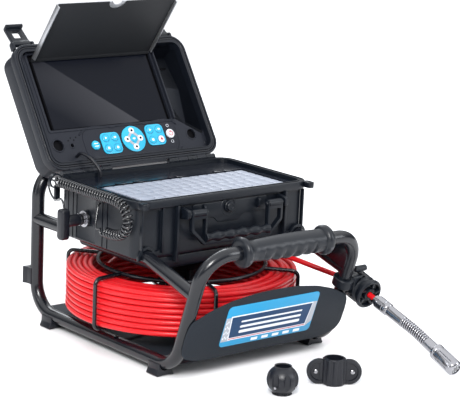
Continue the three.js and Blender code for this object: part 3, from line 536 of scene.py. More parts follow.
def grip():
    """The rubber sleeve on the handle, with collars at its ends and five soft bulges below."""
    base = [
        (10.3, -83), (16, -83), (19.6, -82.4), (21.4, -80), (21.8, -77.5), (21.4, -75),
        (19.4, -72.6), (16.8, -71), (16, -68), (15.2, -63), (14.9, -58), (15.6, -50), (16.3, -36),
        (17, -20), (17.5, 0),
        (17.6, 20), (17.3, 40), (16.8, 55), (16.5, 62), (16.6, 66), (19.4, 67.6), (21.4, 70),
        (21.8, 73), (21.4, 76), (19.4, 79), (16, 80), (10.3, 80),
    ]
    profile = []
    for (r0, z0), (r1, z1) in zip(base, base[1:]):
        steps = max(1, int(abs(z1 - z0) / 1.5))
        for k in range(steps):
            profile.append((r0 + (r1 - r0) * k / steps, z0 + (z1 - z0) * k / steps))
    profile.append(base[-1])
    bm = lathe(profile, 72, closed=True)
    first, last, bulges, depth = -48, 50, 5, 0.20
    under_side = math.radians(-138)
    for v in bm.verts:
        if math.hypot(v.co.x, v.co.y) < 12 or not first < v.co.z < last:
            continue
        under = max(0.0, math.cos(math.atan2(v.co.y, v.co.x) - under_side)) ** 3
        wave = 0.5 - 0.5 * math.cos((v.co.z - first) / (last - first) * bulges * 2 * math.pi)
        scale = 1 - depth * under * (1 - wave ** 0.7)
        v.co.x, v.co.y = v.co.x * scale, v.co.y * scale
    put("handle_grip_skin", bm, "carrier", "black_rubber", "grip_rubber", nodes=["handle_grip"],
        place=shift(0, HANDLE_Y, HANDLE_Z) @ TO_X, angle=50)
    for i, x in enumerate((-77, 73)):
        direction = turn(24, "X") @ Vector((0, -1, 0))
        head = lathe([(0, 22.4), (1.8, 22.2), (2.6, 21.6), (2.8, 20), (0, 20)], 20)
        turned = direction.to_track_quat("Z", "Y").to_matrix().to_4x4()
        put(f"grip_screw_{i}", head, "carrier", "steel", "dark_steel",
            place=shift(x, HANDLE_Y, HANDLE_Z) @ turned)


def clip_foot(name, place, node):
    """A rubber foot with a flared sole, two clip lips and a tube seat."""
    outline = softened([
        (-13.6, -18), (-15, -16.6), (-11.6, -9), (-11.2, 0.5), (11.2, 0.5), (11.6, -9),
        (15, -16.6), (13.6, -18), (4, -17), (-4, -17),
    ], 1.4, 3)
    bm = moved(prism(outline, -13, 13, 0.8), turn(90, "X"))
    tread = [block(-16, 16, -9.5, -7.5, -19, -16.6), block(-16, 16, 7.5, 9.5, -19, -16.6)]
    tube = rod("y", TUBE + 0.2, -30, 30, 0, 0, 32)
    put(name, cut(bm, tube, *tread), "carrier", "black_rubber", nodes=[node], place=place)


def tray_and_lip():
    sheet = prism(rounded(-131.4, 131.4, -173, 166, 8), 20, 22, 0.5)
    put("tray_floor", sheet, "carrier", "tray_sheet", nodes=["floor_tray"])
    right = [
        (100, 13), (124, 16), (142, 22), (149, 34), (149.5, 60), (147.5, 74), (143, 83), (132, 88),
        (112, 98), (80, 107.5), (40, 113.5),
    ]
    outline = [(0, 14), *right, (0, 115), *[(-x, y) for x, y in reversed(right)]]
    outline = softened(outline, 7, 4)
    put("lip_sheet", prism(outline, 0, 2.5, 0.6), "carrier", "tray_sheet", nodes=["front_lip"], place=LIP)


def label():
    """A plain striped plate: sky blue with pale ends, a navy field and small squares, no lettering."""
    plate = prism(rounded(-84, 86, 31, 99, 7), 2.6, 3.2, 0.2)
    put("label_back", plate, "carrier", "label_print", "print_sky", nodes=["label_plate"], place=LIP)
    pieces = [
        ("label_left_end", "print_grey", [(-83.2, 40), (-66, 40), (-72, 80), (-83.2, 80)], 3.30),
        ("label_right_end", "print_grey", [(74, 40), (85.2, 48), (85.2, 82), (69, 82)], 3.30),
        ("label_white", "print_white", [(-71, 41), (74, 41), (78, 82), (-75, 82)], 3.34),
        ("label_navy", "print_navy", [(-70, 45), (73, 45), (77, 80), (-73, 80)], 3.38),
        ("label_red", "print_red", [(-70, 42.4), (73, 42.4), (73.1, 43.8), (-70.1, 43.8)], 3.38),
    ]
    for k in range(3):
        y = 51 + k * 9
        bar = softened(corners(-54, 60, y, y + 4.8 - k), 2.2, 4)
        pieces.append((f"label_bar_{k}", "print_white", bar, 3.42))
    for k in range(5):
        x = -26 + k * 20
        pieces.append((f"label_square_{k}", "print_white", corners(x, x + 12, 33.5, 38), 3.34))
    for k in range(14):
        x, y = -81.5 + 2.9 * (k % 4), 44 + 8.5 * (k // 4) + 2.2 * (k % 2)
        pieces.append((f"label_fleck_{k}", "print_white", corners(x, x + 1.6, y, y + 3), 3.36))
    for name, mat, outline, top in pieces:
        put(name, prism(outline, 3.0, top), "carrier", "label_print", mat, place=LIP)


def frame_bracket():
    """The plate with a hole in the corner of the right middle tube and the right upright."""
    outline = softened([
        (-170, 149), (-169, 162), (-177, 170), (-214, 172), (-222, 160), (-217, 137), (-207, 134),
    ], 6)
    hole_y, hole_z = -184, 157
    plate = cut(prism_x(outline, 130.2, 133.2, 0.5), rod("x", 4, 120, 140, hole_y, hole_z, 24))
    collar = lathe([(4, 0), (6.4, 0), (6.4, 1.6), (4, 1.6)], 24, closed=True)
    collar = moved(collar, turn(-90, "Y"), shift(130.4, hole_y, hole_z))
    put("right_gusset", merged(plate, collar), "carrier", "frame_paint")


# ------------------------------------------------------------------ reel

def windings():
    """The push rod wound in five columns of eight turns, as one long rod."""
    turns, steps, low, climb = 8, 60, 48.6, 59.2
    pitch = climb / (turns - 1)
    points = []
    for column in range(5):
        radius = 169.6 - column * 8.0
        rising = column % 2 == 0
        for i in range(turns * steps):
            t = i / steps
            level = t - 0.5 if rising else turns - 1 - t + 0.5
            level = min(max(level, 0), turns - 1)
            angle = 2 * math.pi * (t + column * turns)
            x, y = math.cos(angle), math.sin(angle)
            r = radius + 0.9 * noise.noise(Vector((x * 1.3, y * 1.3, column * 3.1 + level * 0.9)))
            z = low + level * pitch + 0.5 * noise.noise(Vector((x, y, 9 + level + column * 5)))
            points.append(Vector((r * x, r * y, z)))
    put("rod_windings", swept(points, 4.05, 12), "reel", "rod_red", nodes=["rod_coil"], angle=80)


def basket():
    """The wire cage with its top ring and hub collar, the hub, the spindle and the bearing cap."""
    ring_radius, low, high, cage, wire = 126, 40.7, 115.4, 178.2, 3
    parts = [swept([(x, y, high) for x, y in circle(ring_radius, 96)], wire, 14, closed=True)]
    for i in range(6):
        route = bent([(22, 0, low), (cage, 0, low), (cage, 0, high), (ring_radius, 0, high)], 9, steps=8)
        parts.append(moved(swept(route, wire, 14), turn(8 + 60 * i, "Z")))
    parts.append(lathe([
        (26.3, low - 3), (47, low - 3), (48, low - 2), (48, low + 2), (47, low + 3), (26.3, low + 3),
    ], 48, True))
    put("basket_wires", merged(*parts), "reel", "frame_paint", nodes=["reel_basket"], angle=50)
    post = lathe([
        (10.5, 34), (25, 34), (26, 35), (26, 60), (24, 62), (24, 96), (26, 98), (26, 106), (36, 110),
        (36, 117), (35, 118), (10.5, 118),
    ], 48, True)
    fins = [moved(block(23, 34, -2, 2, 44, 109, 0.5), turn(60 * i + 15, "Z")) for i in range(6)]
    put("hub_post", merged(post, *fins), "reel", "case_plastic", nodes=["reel_hub"])
    foot = lathe([(0, 22.3), (40, 22.3), (40, 27), (39, 28), (12, 30), (10, 32), (10, 119), (0, 119)], 48)
    put("spindle_post", foot, "carrier", "steel", nodes=["reel_spindle"])
    cap = lathe([(0, 119.5), (22, 119.5), (22, 126), (47, 128), (48, 129), (48, 135.7), (0, 135.7)], 48)
    put("bearing_cap", cap, "carrier", "case_plastic", nodes=["reel_top_bearing"])


# ------------------------------------------------------------------ rod guide and camera head

LEAD = [
    (-70, 92, 96), (-20, 114, 106), (36, 110, 115), (80, 83, 121), (107, 40, 124.5), (116, -10, 126),
    (121, -60, 127), (127, -108, 125.5), (142, -144, 118), (163, -168, 108.5),
]


def guide():
    """The rod's loose lead, the fluted barrel that it leaves by, its bracket and the locking knob."""
    route = LEAD + [tuple(ROD @ Vector((0, 0, t))) for t in (0, 25, 54)]
    put("red_lead", swept(smooth(route, 10), 4, 16), "carrier", "rod_red", nodes=["push_rod_lead"])
    barrel = lathe([
        (5.2, 0), (17, 0), (18.5, 1), (21.5, 4.5), (22, 6), (22, 27), (21, 28.4), (19, 30), (19, 34),
        (21, 35.6), (23, 36.4), (23, 39.6), (21.5, 41.5), (20, 42), (18.6, 41.4), (18, 36), (10, 36),
        (9.4, 41.4), (8.5, 42), (7, 40.5), (5.2, 40.5),
    ], 48, closed=True)
    fins = []
    for i in range(5):
        fin = block(9, 19, -1.7, 1.7, 35, 41.2, 0.8)
        fins.append(moved(fin, turn(25, "Z"), shift(3, -4, 0), turn(72 * i, "Z")))
    scoops = [moved(rod("z", 5.6, 7.5, 26, 24.4, 0, 16), turn(60 * i + 10, "Z")) for i in range(6)]
    for i in range(6):
        slot = block(17.4, 26, -2.2, 2.2, 9.5, 24.5, 1.6, 3)
        scoops.append(moved(slot, turn(60 * i + 40, "Z")))
    put("guide_barrel", merged(cut(barrel, *scoops), *fins), "carrier", "case_plastic",
        nodes=["guide_body"], place=ROD)
    collar = moved(
        lathe([(10.3, -7), (15, -7), (16, -6), (16, 6), (15, 7), (10.3, 7)], 40, closed=True),
        Matrix.Translation(upright(RAIL_X, 111)) @ turn(math.degrees(math.atan2(-LEAN.y, LEAN.z)), "X"),
    )
    arm = block(RAIL_X + 12, 178, -214, -186, 90, 118, 2.5, 3)
    arm = cut(arm, moved(rod("z", 23.2, -60, 90, 0, 0, 40), ROD))
    put("guide_bracket", merged(collar, arm), "carrier", "case_plastic", nodes=["guide_clamp"])
    knob = merged(
        rod("z", 4, 119.8, 127, 172, -207, 20, 0.4), rod("x", 4.8, 160.5, 183.5, -207, 127, 24, 1.6)
    )
    put("knob_tee", knob, "guide_knob", "case_plastic", nodes=["guide_knob"])


def camera():
    """The steel coupling, the spring and the fluted camera head with its window and lights."""
    body = lathe([
        (0, 0), (6.6, 0), (8, 1.4), (8, 5), (9.4, 6), (9.9, 6.6), (9.9, 22), (9.3, 22.6), (9.3, 24),
        (9.9, 24.6), (9.9, 29.4), (9, 31.2), (8, 32), (0, 32),
    ], 48)
    slots = [
        moved(prism_x(rounded(-2, 2, 8.5, 20, 2, 4), 7.6, 14), turn(120 * i + 30, "Z")) for i in range(3)
    ]
    put("coupling_steel", cut(body, *slots), "carrier", "steel", nodes=["rod_coupling"],
        place=ROD @ shift(0, 0, COUPLING_AT))

    sleeve = lathe([(0, 0), (8, 0), (8.5, 0.6), (8.5, 31.2), (8, 31.8), (0, 31.8)], 40)
    put("spring_sleeve_rear", sleeve, "carrier", "steel", nodes=["spring_rear"],
        place=ROD @ shift(0, 0, SPRING_AT))
    spring_coils(118, BEND_AT + 28)
    sleeve = lathe([(0, 27.4), (8, 27.4), (8.5, 28), (8.5, 45.4), (8, 46), (0, 46)], 40)
    put("spring_sleeve_front", sleeve, "camera_head", "steel", nodes=["spring_front"], place=HEAD)

    end = HEAD_END
    head = lathe([
        (0, 46.3), (9.6, 46.3), (11.4, 47.4), (12, 49), (12, 53), (11.6, 53.6), (11.6, 54.6), (12, 55.2),
        (12, end - 4), (11.6, end - 2.4), (10.4, end - 0.8), (9.4, end), (7.3, end), (7.3, end - 4),
        (0, end - 4),
    ], 60)
    flutes = [moved(rod("z", 2.6, 57, end - 8, 13.2, 0, 16, 1), turn(60 * i + 12, "Z")) for i in range(6)]
    put("head_shell", cut(head, *flutes), "camera_head", "steel", nodes=["camera_head"], place=HEAD)
    lens = lathe([(0, end - 3.7), (7, end - 3.7), (7, end - 1.6), (6.4, end - 1), (0, end - 1)], 40)
    put("head_window", lens, "camera_head", "lens_glass", nodes=["camera_lens"], place=HEAD)
    for i, (x, y) in enumerate(circle(5, 6)):
        dot = lathe([(0, end - 1.0), (0.8, end - 1.0), (0.8, end - 0.8), (0, end - 0.8)], 12)
        put(f"head_light_{i}", dot, "camera_head", "lens_glass", "print_white",
            place=HEAD @ shift(x, y, 0))


def soft(name, shape, mat, slot, bodies, start, end, nodes=()):
    """A piece laid in the row frame's metres, tied to no body. start and end are not used."""
    shape.transform(Matrix.Scale(0.001, 4) @ Matrix.Translation(SHIFT))
    obj = finished(name, shape, [mat], 70)
    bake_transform(obj)
    if nodes:
        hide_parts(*nodes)


def spring_coils(start, end):
    """The open part of the head's spring: one wire round a dark core, over the bend."""
    def at(s, radius, angle):
        x, y = radius * math.cos(angle), radius * math.sin(angle)
        t = (s - start) / (end - start)
        w = t * t * (3 - 2 * t)
        return (ROD @ Vector((x, y, s))).lerp(HEAD @ Vector((x, y, s - BEND_AT)), w)

    pitch, wire, steps = 4.0, 1.5, 28
    count = int((end - start) / pitch * steps)
    coil = [at(start + pitch * i / steps, 7.0, 2 * math.pi * i / steps) for i in range(count + 1)]
    core = [at(start + (end - start) * i / 16, 0, 0) for i in range(17)]
    bodies = ("carrier", "camera_head")
    ends = at(start, 0, 0), at(end, 0, 0)
    soft("spring_wire", swept(coil, wire, 10), "steel", "steel", bodies, *ends)
    soft("spring_core", swept(core, 6.2, 24), "dark_steel", "steel", bodies, *ends)


# ------------------------------------------------------------------ control case

KNUCKLES = [55 + i * 18.2 for i in range(5)]


def knuckles(of_lid):
    """The spans along x of the hinge knuckles of the lid, or of the case."""
    spans = []
    for side in (-1, 1):
        for i, near in enumerate(KNUCKLES):
            if (i % 2 == 1) == of_lid:
                spans.append(tuple(sorted((side * near, side * (near + 17.6)))))
    return spans


def case_outline(inset, radius):
    return rounded(-162.5 + inset, 162.5 - inset, -102 + inset, 106 - inset, radius, 10)


def case():
    """The lower shell with its rim, belly, seal groove, latch recesses, ribs, eyes and knuckles."""
    body = prism(case_outline(5, 21), 155, 239, 5, 4)
    belly = prism(rounded(-126, 126, -93, 98, 14), 136, 157, 5, 3)
    rim = prism(case_outline(0, 26), 229, 241, 1.6, 3)
    shell = join(body, belly, rim)
    tools = [
        prism(rounded(-152, 152, -92, 96, 16, 8), 176, 246),
        prism(rounded(-121, 121, -88, 92, 10), 141, 178),
        rod("x", 2.1, -200, 200, HINGE.y, HINGE.z, 16),
    ]
    tools.append(cut(prism(case_outline(3.6, 22.4), 240.0, 244), prism(case_outline(7.9, 18), 230, 250)))
    clear = TUBE + 0.6
    for x in (-RAIL_X, RAIL_X):
        tools.append(rod("y", clear, -130, 130, x, MID_Z, 32))
        tools.append(block(x - clear, x + clear, -130, 130, 130, MID_Z))
    # Latch recesses at the front corners, and grooves down the sides.
    for side in (-1, 1):
        tools.append(prism_y(softened(corners(side * 118, side * 146, 166, 226), 4), -110, -93.5))
        for y in (-24, -12, 62, 74):
            tools.append(block(side * 155.4, side * 170, y - 1.2, y + 1.2, 150, 228))
        tools.append(block(side * 156.2, side * 170, 6, 54, 159, 226, 0.5))
    shell = cut(shell, *tools)
    extras = []
    for x in (-91, 111):
        extras.append(block(x - 2, x + 2, -104.8, -94, 148, 230, 0.8))
    for x in (-151, 115, 149, -115):
        extras.append(block(x - 1.4, x + 1.4, -100.2, -94, 163, 229, 0.5))
    for side in (-1, 1):
        outline = softened([(148.4, -95), (149, -112.6), (159.8, -112.6), (159.8, -95)], 5, 5)
        eye = cut(prism(outline, 231.5, 240.4, 0.9), rod("z", 3, 200, 260, 154.75, -107.5, 24))
        if side < 0:
            eye = moved(eye, Matrix.Diagonal((-1, 1, 1, 1)))
        extras.append(eye)
        extras.append(arch(side))
    for x0, x1 in knuckles(False):
        extras.append(rod("x", 4.6, x0, x1, HINGE.y, HINGE.z, 24, 0.4))
        extras.append(block(x0, x1, 103, HINGE.y, 233.3, 240.5, 0.4))
    put("case_shell", merged(shell, *extras), "carrier", "case_plastic", nodes=["case_base"])
    for side, ends in (("left", (-144, -56)), ("right", (56, 144))):
        pin = rod("x", 1.8, *ends, HINGE.y, HINGE.z, 16, 0.4)
        put(f"{side}_pin", pin, "carrier", "steel", nodes=[f"{side}_hinge_pin"])


def arch(side):
    """The raised surround where the carrier's middle tube leaves the case."""
    x = side * RAIL_X
    outer = [(x - 15, 156)] + arc(x, MID_Z, 15.2, 180, 0, 16) + [(x + 15, 156)]
    inner = [(x + 10.8, 156)] + arc(x, MID_Z, 10.8, 0, 180, 16) + [(x - 10.8, 156)]
    return prism_y(outer + inner, -99.6, -95, 0.4)


def keyboard_deck():
    """The glossy deck, the keyboard in it, and the battery and circuit board below it."""
    plate = prism(rounded(-151.5, 151.5, -91.5, 95.5, 15.5), 229, 235.5, 0.6)
    plate = cut(plate, prism(rounded(-135, 139, -87, 34, 4), 232, 240))
    tabs = [block(x - 9, x + 9, 29.6, 38, 235.3, 237, 0.6) for x in (-92, -60, 18, 92, 112)]
    put("keyboard_deck", merged(plate, *tabs), "carrier", "panel_plastic", "deck_gloss",
        nodes=["keyboard_tray"])
    base = prism(rounded(-132, 136, -84, 31, 3), 232.3, 234.0, 0.5)
    # The base under the keys takes the painted shade colour of the gaps.
    put("keyboard_base", base, "carrier", "key_white", "key_gap", nodes=["keyboard"])
    left, front, width, depth, gap, base_z = -129.5, -81, 263, 109, 1.3, 233.6
    # Each row's key widths, from the front row back.
    letters = [1.6] + [1] * 11 + [1.4, 1]
    rows = [[1.25, 1.25, 1.25, 4.5, 1.25, 1.25, 1, 1, 1.25, 1], letters, letters] + [[1] * 15] * 3
    keys, marks = [], []
    for row, widths in enumerate(rows):
        y0 = front + row * (depth / len(rows))
        y1 = y0 + depth / len(rows) - gap
        x = left
        for share in widths:
            step = width * share / sum(widths)
            keys.append(prism(rounded(x, x + step - gap, y0, y1, 2.4, 3), base_z, base_z + 2, 0.5))
            marks.append(block(x + 2.6, x + 4.8, y1 - 5.2, y1 - 3.4, 235.3, 235.68))
            x += step
    put("keyboard_keys", merged(*keys), "carrier", "key_white")
    put("keyboard_marks", merged(*marks), "carrier", "key_white", "print_grey")
    battery = block(-112, -24, -72, 4, 141.3, 174, 2, 3)
    put("battery_block", battery, "carrier", "black_rubber", nodes=["battery_pack"])
    chips = [block(10 + i * 20, 22 + i * 20, -60, -40, 152, 155, 0.3) for i in range(5)]
    board = merged(block(0, 112, -80, 22, 150, 152), *chips)
    put("board_plate", board, "carrier", "circuit_board", nodes=["recorder_board"])


def carry_handle():
    """The folding handle on the case's front, with its ribbed bar, its barrels and the lugs for them."""
    left, right, y, z, low = -76, 94, -113, 218, 170
    outline = softened([
        (left, z + 5), (left, low + 22), (left + 24, low), (right - 24, low), (right, low + 22),
        (right, z + 5), (right - 28, z + 5), (right - 28, low + 15), (left + 28, low + 15),
        (left + 28, z + 5),
    ], 3, 4)
    plate = prism_y(outline, y - 4, y + 4, 0.8)
    holes = []
    for outer, inner in ((left + 4, left + 24.5), (right - 4, right - 24.5)):
        window = softened([(outer, z - 8), (outer, low + 25), (inner, low + 5), (inner, z - 8)], 2, 3)
        holes.append(prism_y(window, y - 9, y + 9))
    plate = cut(plate, *holes)
    profile, count = [], 60
    start, end = left + 25, right - 25
    for i in range(count + 1):
        t = i / count
        r = 6.3 + 1.1 * math.cos(2 * math.pi * 5 * t)
        profile.append((r, start + (end - start) * t))
    bar = moved(lathe([(0, start), *profile, (0, end)], 24), shift(0, y - 1.5, low + 11) @ TO_X)
    barrels = []
    for x0, x1 in ((left, left + 28), (right - 28, right)):
        barrels.append(rod("x", 5.6, x0 + 2, x1 - 2, y, z, 24, 0.8))
        barrels.append(rod("x", 3, x0 - 2.5, x1 + 2.5, y, z, 16, 0.4))
    put("handle_bail", merged(plate, bar, *barrels), "carry_handle", "case_plastic", nodes=["carry_handle"])
    lugs = []
    for x, half, back, front in (
        (left - 6, 3, -97, y - 5), (right + 6, 3, -97, y - 5),
        (left + 34, 2, -96, -104), (right - 34, 2, -96, -104),
    ):
        outline = softened([(back, z - 9), (front, z - 6), (front, z + 6), (back, z + 9)], 3)
        lugs.append(prism_x(outline, x - half, x + half, 0.5))
    put("handle_lugs", merged(*lugs), "carrier", "case_plastic")


def front_details():
    """A raised plate behind the handle, the boss round the pressure valve, and the valve."""
    valve_x, valve_z = 5, 218.5
    outline = softened([
        (-62, 227), (-62, 205), (-22, 205), (-14, 196), (24, 196), (32, 205), (78, 205), (78, 227),
    ], 4, 4)
    plate = prism_y(outline, -98.6, -95.5, 0.5)
    boss = lathe([(0, 0), (15, 0), (15, 2.6), (14, 3.6), (11, 3.6), (10.4, 3), (0, 3)], 40)
    boss = moved(boss, turn(90, "X"), shift(valve_x, -95.4, valve_z))
    put("front_plate", merged(plate, boss), "carrier", "case_plastic")
    valve = lathe([
        (0, 0), (9, 0), (9, 4.2), (8.2, 5), (7.2, 5), (6.8, 5.6), (6.8, 7.2), (6, 8), (3.6, 8),
        (3.2, 7.4), (0, 7.4),
    ], 40)
    valve = moved(valve, turn(90, "X"), shift(valve_x, -97.3, valve_z))
    put("valve_cap", valve, "pressure_valve", "case_plastic", nodes=["pressure_valve"])


# ------------------------------------------------------------------ plug and curly cord

WALL_X = -157.5
SOCKET_Y, SOCKET_Z = 29.8, 191.6
CORD = 3.1
CURL_RADIUS, CURL_PITCH, CURL_EASE, CURL_STEP = 6.2, 6.1, 16, 0.12
CURLY = [
    (-175, 92, 239.4), (-175, 40, 239.6), (-175, -20, 239.4), (-175, -66, 239), (-175, -88, 232),
    (-175, -97, 214.5), (-175, -88, 197), (-175, -66, 190), (-175, -26, 190),
]
PLUG_LEAD = [
    (-196.5, 29.8, 211.2), (-196.5, 31, 218), (-193, 42, 222), (-186, 62, 216), (-179, 82, 214),
    (-175, 98, 222), (-175, 101.5, 232), (-175, 97.5, 237.5),
]
TAIL = [
    (-175, -20.5, 190.6), (-174, -18, 193), (-170, -14, 203), (-166, -11, 214), (-163, -9, 221),
    (-159.2, -8, 222.4),
]


def resampled(points, step):
    """Points every step along the line, from its first point."""
    out, left = [points[0].copy()], step
    for a, b in zip(points, points[1:]):
        run = (b - a).length
        while run >= left:
            a = a + (b - a).normalized() * left
            run = (b - a).length
            out.append(a.copy())
            left = step
        left -= run
    return out


def curly_points():
    """The cord from the wall to the plug: a thin tail, the wound length, and a thin lead."""
    spine = resampled(smooth(CURLY[::-1], 24), CURL_STEP)
    total = len(spine) * CURL_STEP
    slow, fast = 0.30, 2 * math.pi / CURL_PITCH
    points, angle = [], 0.0
    side = Vector((1, 0, 0))
    for i, p in enumerate(spine):
        from_end = min(i * CURL_STEP, total - i * CURL_STEP)
        tangent = (spine[min(i + 1, len(spine) - 1)] - spine[max(i - 1, 0)]).normalized()
        side = (side - tangent * side.dot(tangent)).normalized()
        other = tangent.cross(side)
        ease = min(1.0, from_end / CURL_EASE)
        radius = CURL_RADIUS * ease * ease * (3 - 2 * ease)
        quick = min(1.0, max(0.0, (from_end - CURL_EASE) / 6))
        angle += CURL_STEP * (slow + (fast - slow) * quick)
        points.append(p + side * (radius * math.cos(angle)) + other * (radius * math.sin(angle)))
    tail = smooth([*reversed(TAIL), (-175, -26, 190)], 8)[:-1]
    lead = smooth([(-175, 92, 239.4), *reversed(PLUG_LEAD)], 8)[1:]
    return resampled(tail + points + lead, 0.9)


def cord_and_plug():
    """The curly cord, the socket in the case's left wall, the plug in it and the clip behind."""
    points = curly_points()
    cord = put("curly_wire", swept(points, CORD / 2, 10), "carrier", "black_rubber",
               mat="cord_rubber", nodes=["curly_cord", "plug_lead", "cord_tail"], angle=80)
    to_wall = shift(WALL_X, SOCKET_Y, SOCKET_Z) @ TO_X
    socket = lathe([
        (0, -10), (8.4, -10), (8.4, -8.6), (7.6, -8.2), (7.6, -6.4), (9.4, -6), (9.4, -4.4),
        (12, -4), (12, -1), (11.4, -0.3), (0, -0.3),
    ], 40)
    put("socket_rings", moved(socket, to_wall), "carrier", "steel", nodes=["side_socket"])
    sleeve = lathe([
        (0, -34), (8, -34), (8.5, -33), (8.5, -14.4), (7.9, -13.8), (7.9, -10.6), (0, -10.6),
    ], 32)
    boot = rounded(SOCKET_Y - 8, SOCKET_Y + 8, SOCKET_Z - 27, SOCKET_Z + 19, 6, 6)
    boot = moved(prism(boot, 0, 14, 3.2, 3), shift(WALL_X - 46, 0, 0) @ TO_X)
    plug = put("plug_body", merged(moved(sleeve, to_wall), boot), "carrier", "black_rubber",
               nodes=["side_plug"])
    collar = lathe([(7.95, -12.6), (8.8, -12.6), (8.8, -10.8), (7.95, -10.8)], 32, closed=True)
    put("plug_ring", moved(collar, to_wall), "carrier", "steel")
    ring = lathe([(9, -3), (11, -3), (11, 3), (9, 3)], 32, closed=True)
    ring = moved(ring, turn(90, "X"), shift(-175, 84, 239.4))
    clip = merged(block(-166, -157.3, 96, 101, 205, 229, 0.8), ring)
    put("cord_clip", clip, "carrier", "case_plastic")


# ------------------------------------------------------------------ lid, monitor and visor

LATCH_X = 132


def lid_outline(inset, radius):
    return rounded(-162.5 + inset, 162.5 - inset, 5.5 + inset, 213.5 - inset, radius, 10)


def on_lid(name, shape, slot, mat=None, nodes=(), body="lid", angle=35):
    return put(name, shape, body, slot, mat, nodes, LID, angle)


def lid():
    """The upper shell with its rim, seal, inner lip, hinge knuckles, latch hooks and ribs."""
    band = prism(lid_outline(0, 26), -13, -0.3, 1.4, 3)
    back = prism(lid_outline(3.5, 22.5), -44.3, -10, 5, 4)
    shell = join(band, back)
    tools = [
        prism(lid_outline(12, 14), -39.3, 5),
        rod("x", 2.1, -200, 200, 0, 0, 16),
        cut(prism(lid_outline(3.7, 22.3), -3.3, 5), prism(lid_outline(7.8, 17.7), -10, 8)),
    ]
    for x0, x1 in knuckles(False):
        tools.append(rod("x", 5.6, x0 - 0.3, x1 + 0.3, 0, 0, 24))
    shell = cut(shell, *tools)
    extras = []
    for x0, x1 in knuckles(True):
        extras.append(rod("x", 4.6, x0, x1, 0, 0, 24, 0.4))
        extras.append(block(x0, x1, 1, 8.5, -8, -0.8, 0.4))
    hook = [(210.5, -19), (221, -19), (223.5, -16), (223.5, -11), (221, -9), (210.5, -9)]
    hook = softened(hook, 1.2, 3)
    for x in (-LATCH_X, LATCH_X):
        for side in (-1, 1):
            near = x + side * 15.5
            extras.append(prism_x(hook, *sorted((near, near + side * 4)), 0.5))
    extras.append(block(-53, 53, 1.5, 8.5, -6, -0.8, 0.4))
    for x in (-110, 0, 110):
        extras.append(block(x - 1.5, x + 1.5, 210.4, 213.4, -40, -12, 0.6))
    on_lid("lid_case", merged(shell, *extras), "case_plastic", "lid_plastic", ["lid_shell"])
    seal_line = [(x, y, -1.9) for x, y in lid_outline(5.75, 20.2)]
    seal = swept(seal_line, 1.6, 10, closed=True)
    on_lid("lid_gasket", seal, "black_rubber", nodes=["lid_seal"], angle=60)
    lip = cut(prism(lid_outline(11.5, 14.5), -4, 0.9, 0.2, 2), prism(lid_outline(12.4, 13.6), -10, 5))
    on_lid("lid_inner_lip", lip, "case_plastic", "lid_plastic")


STORAGE = [(101, 74), (144, 44), (150, 48), (150, 201), (101, 201)]
SCREEN = (-127, 87, 74.5, 187.5)
LEFT_SOCKET, RIGHT_SOCKET, JACK = (-128, 48.7), (124, 45), (-103.6, 46.3)


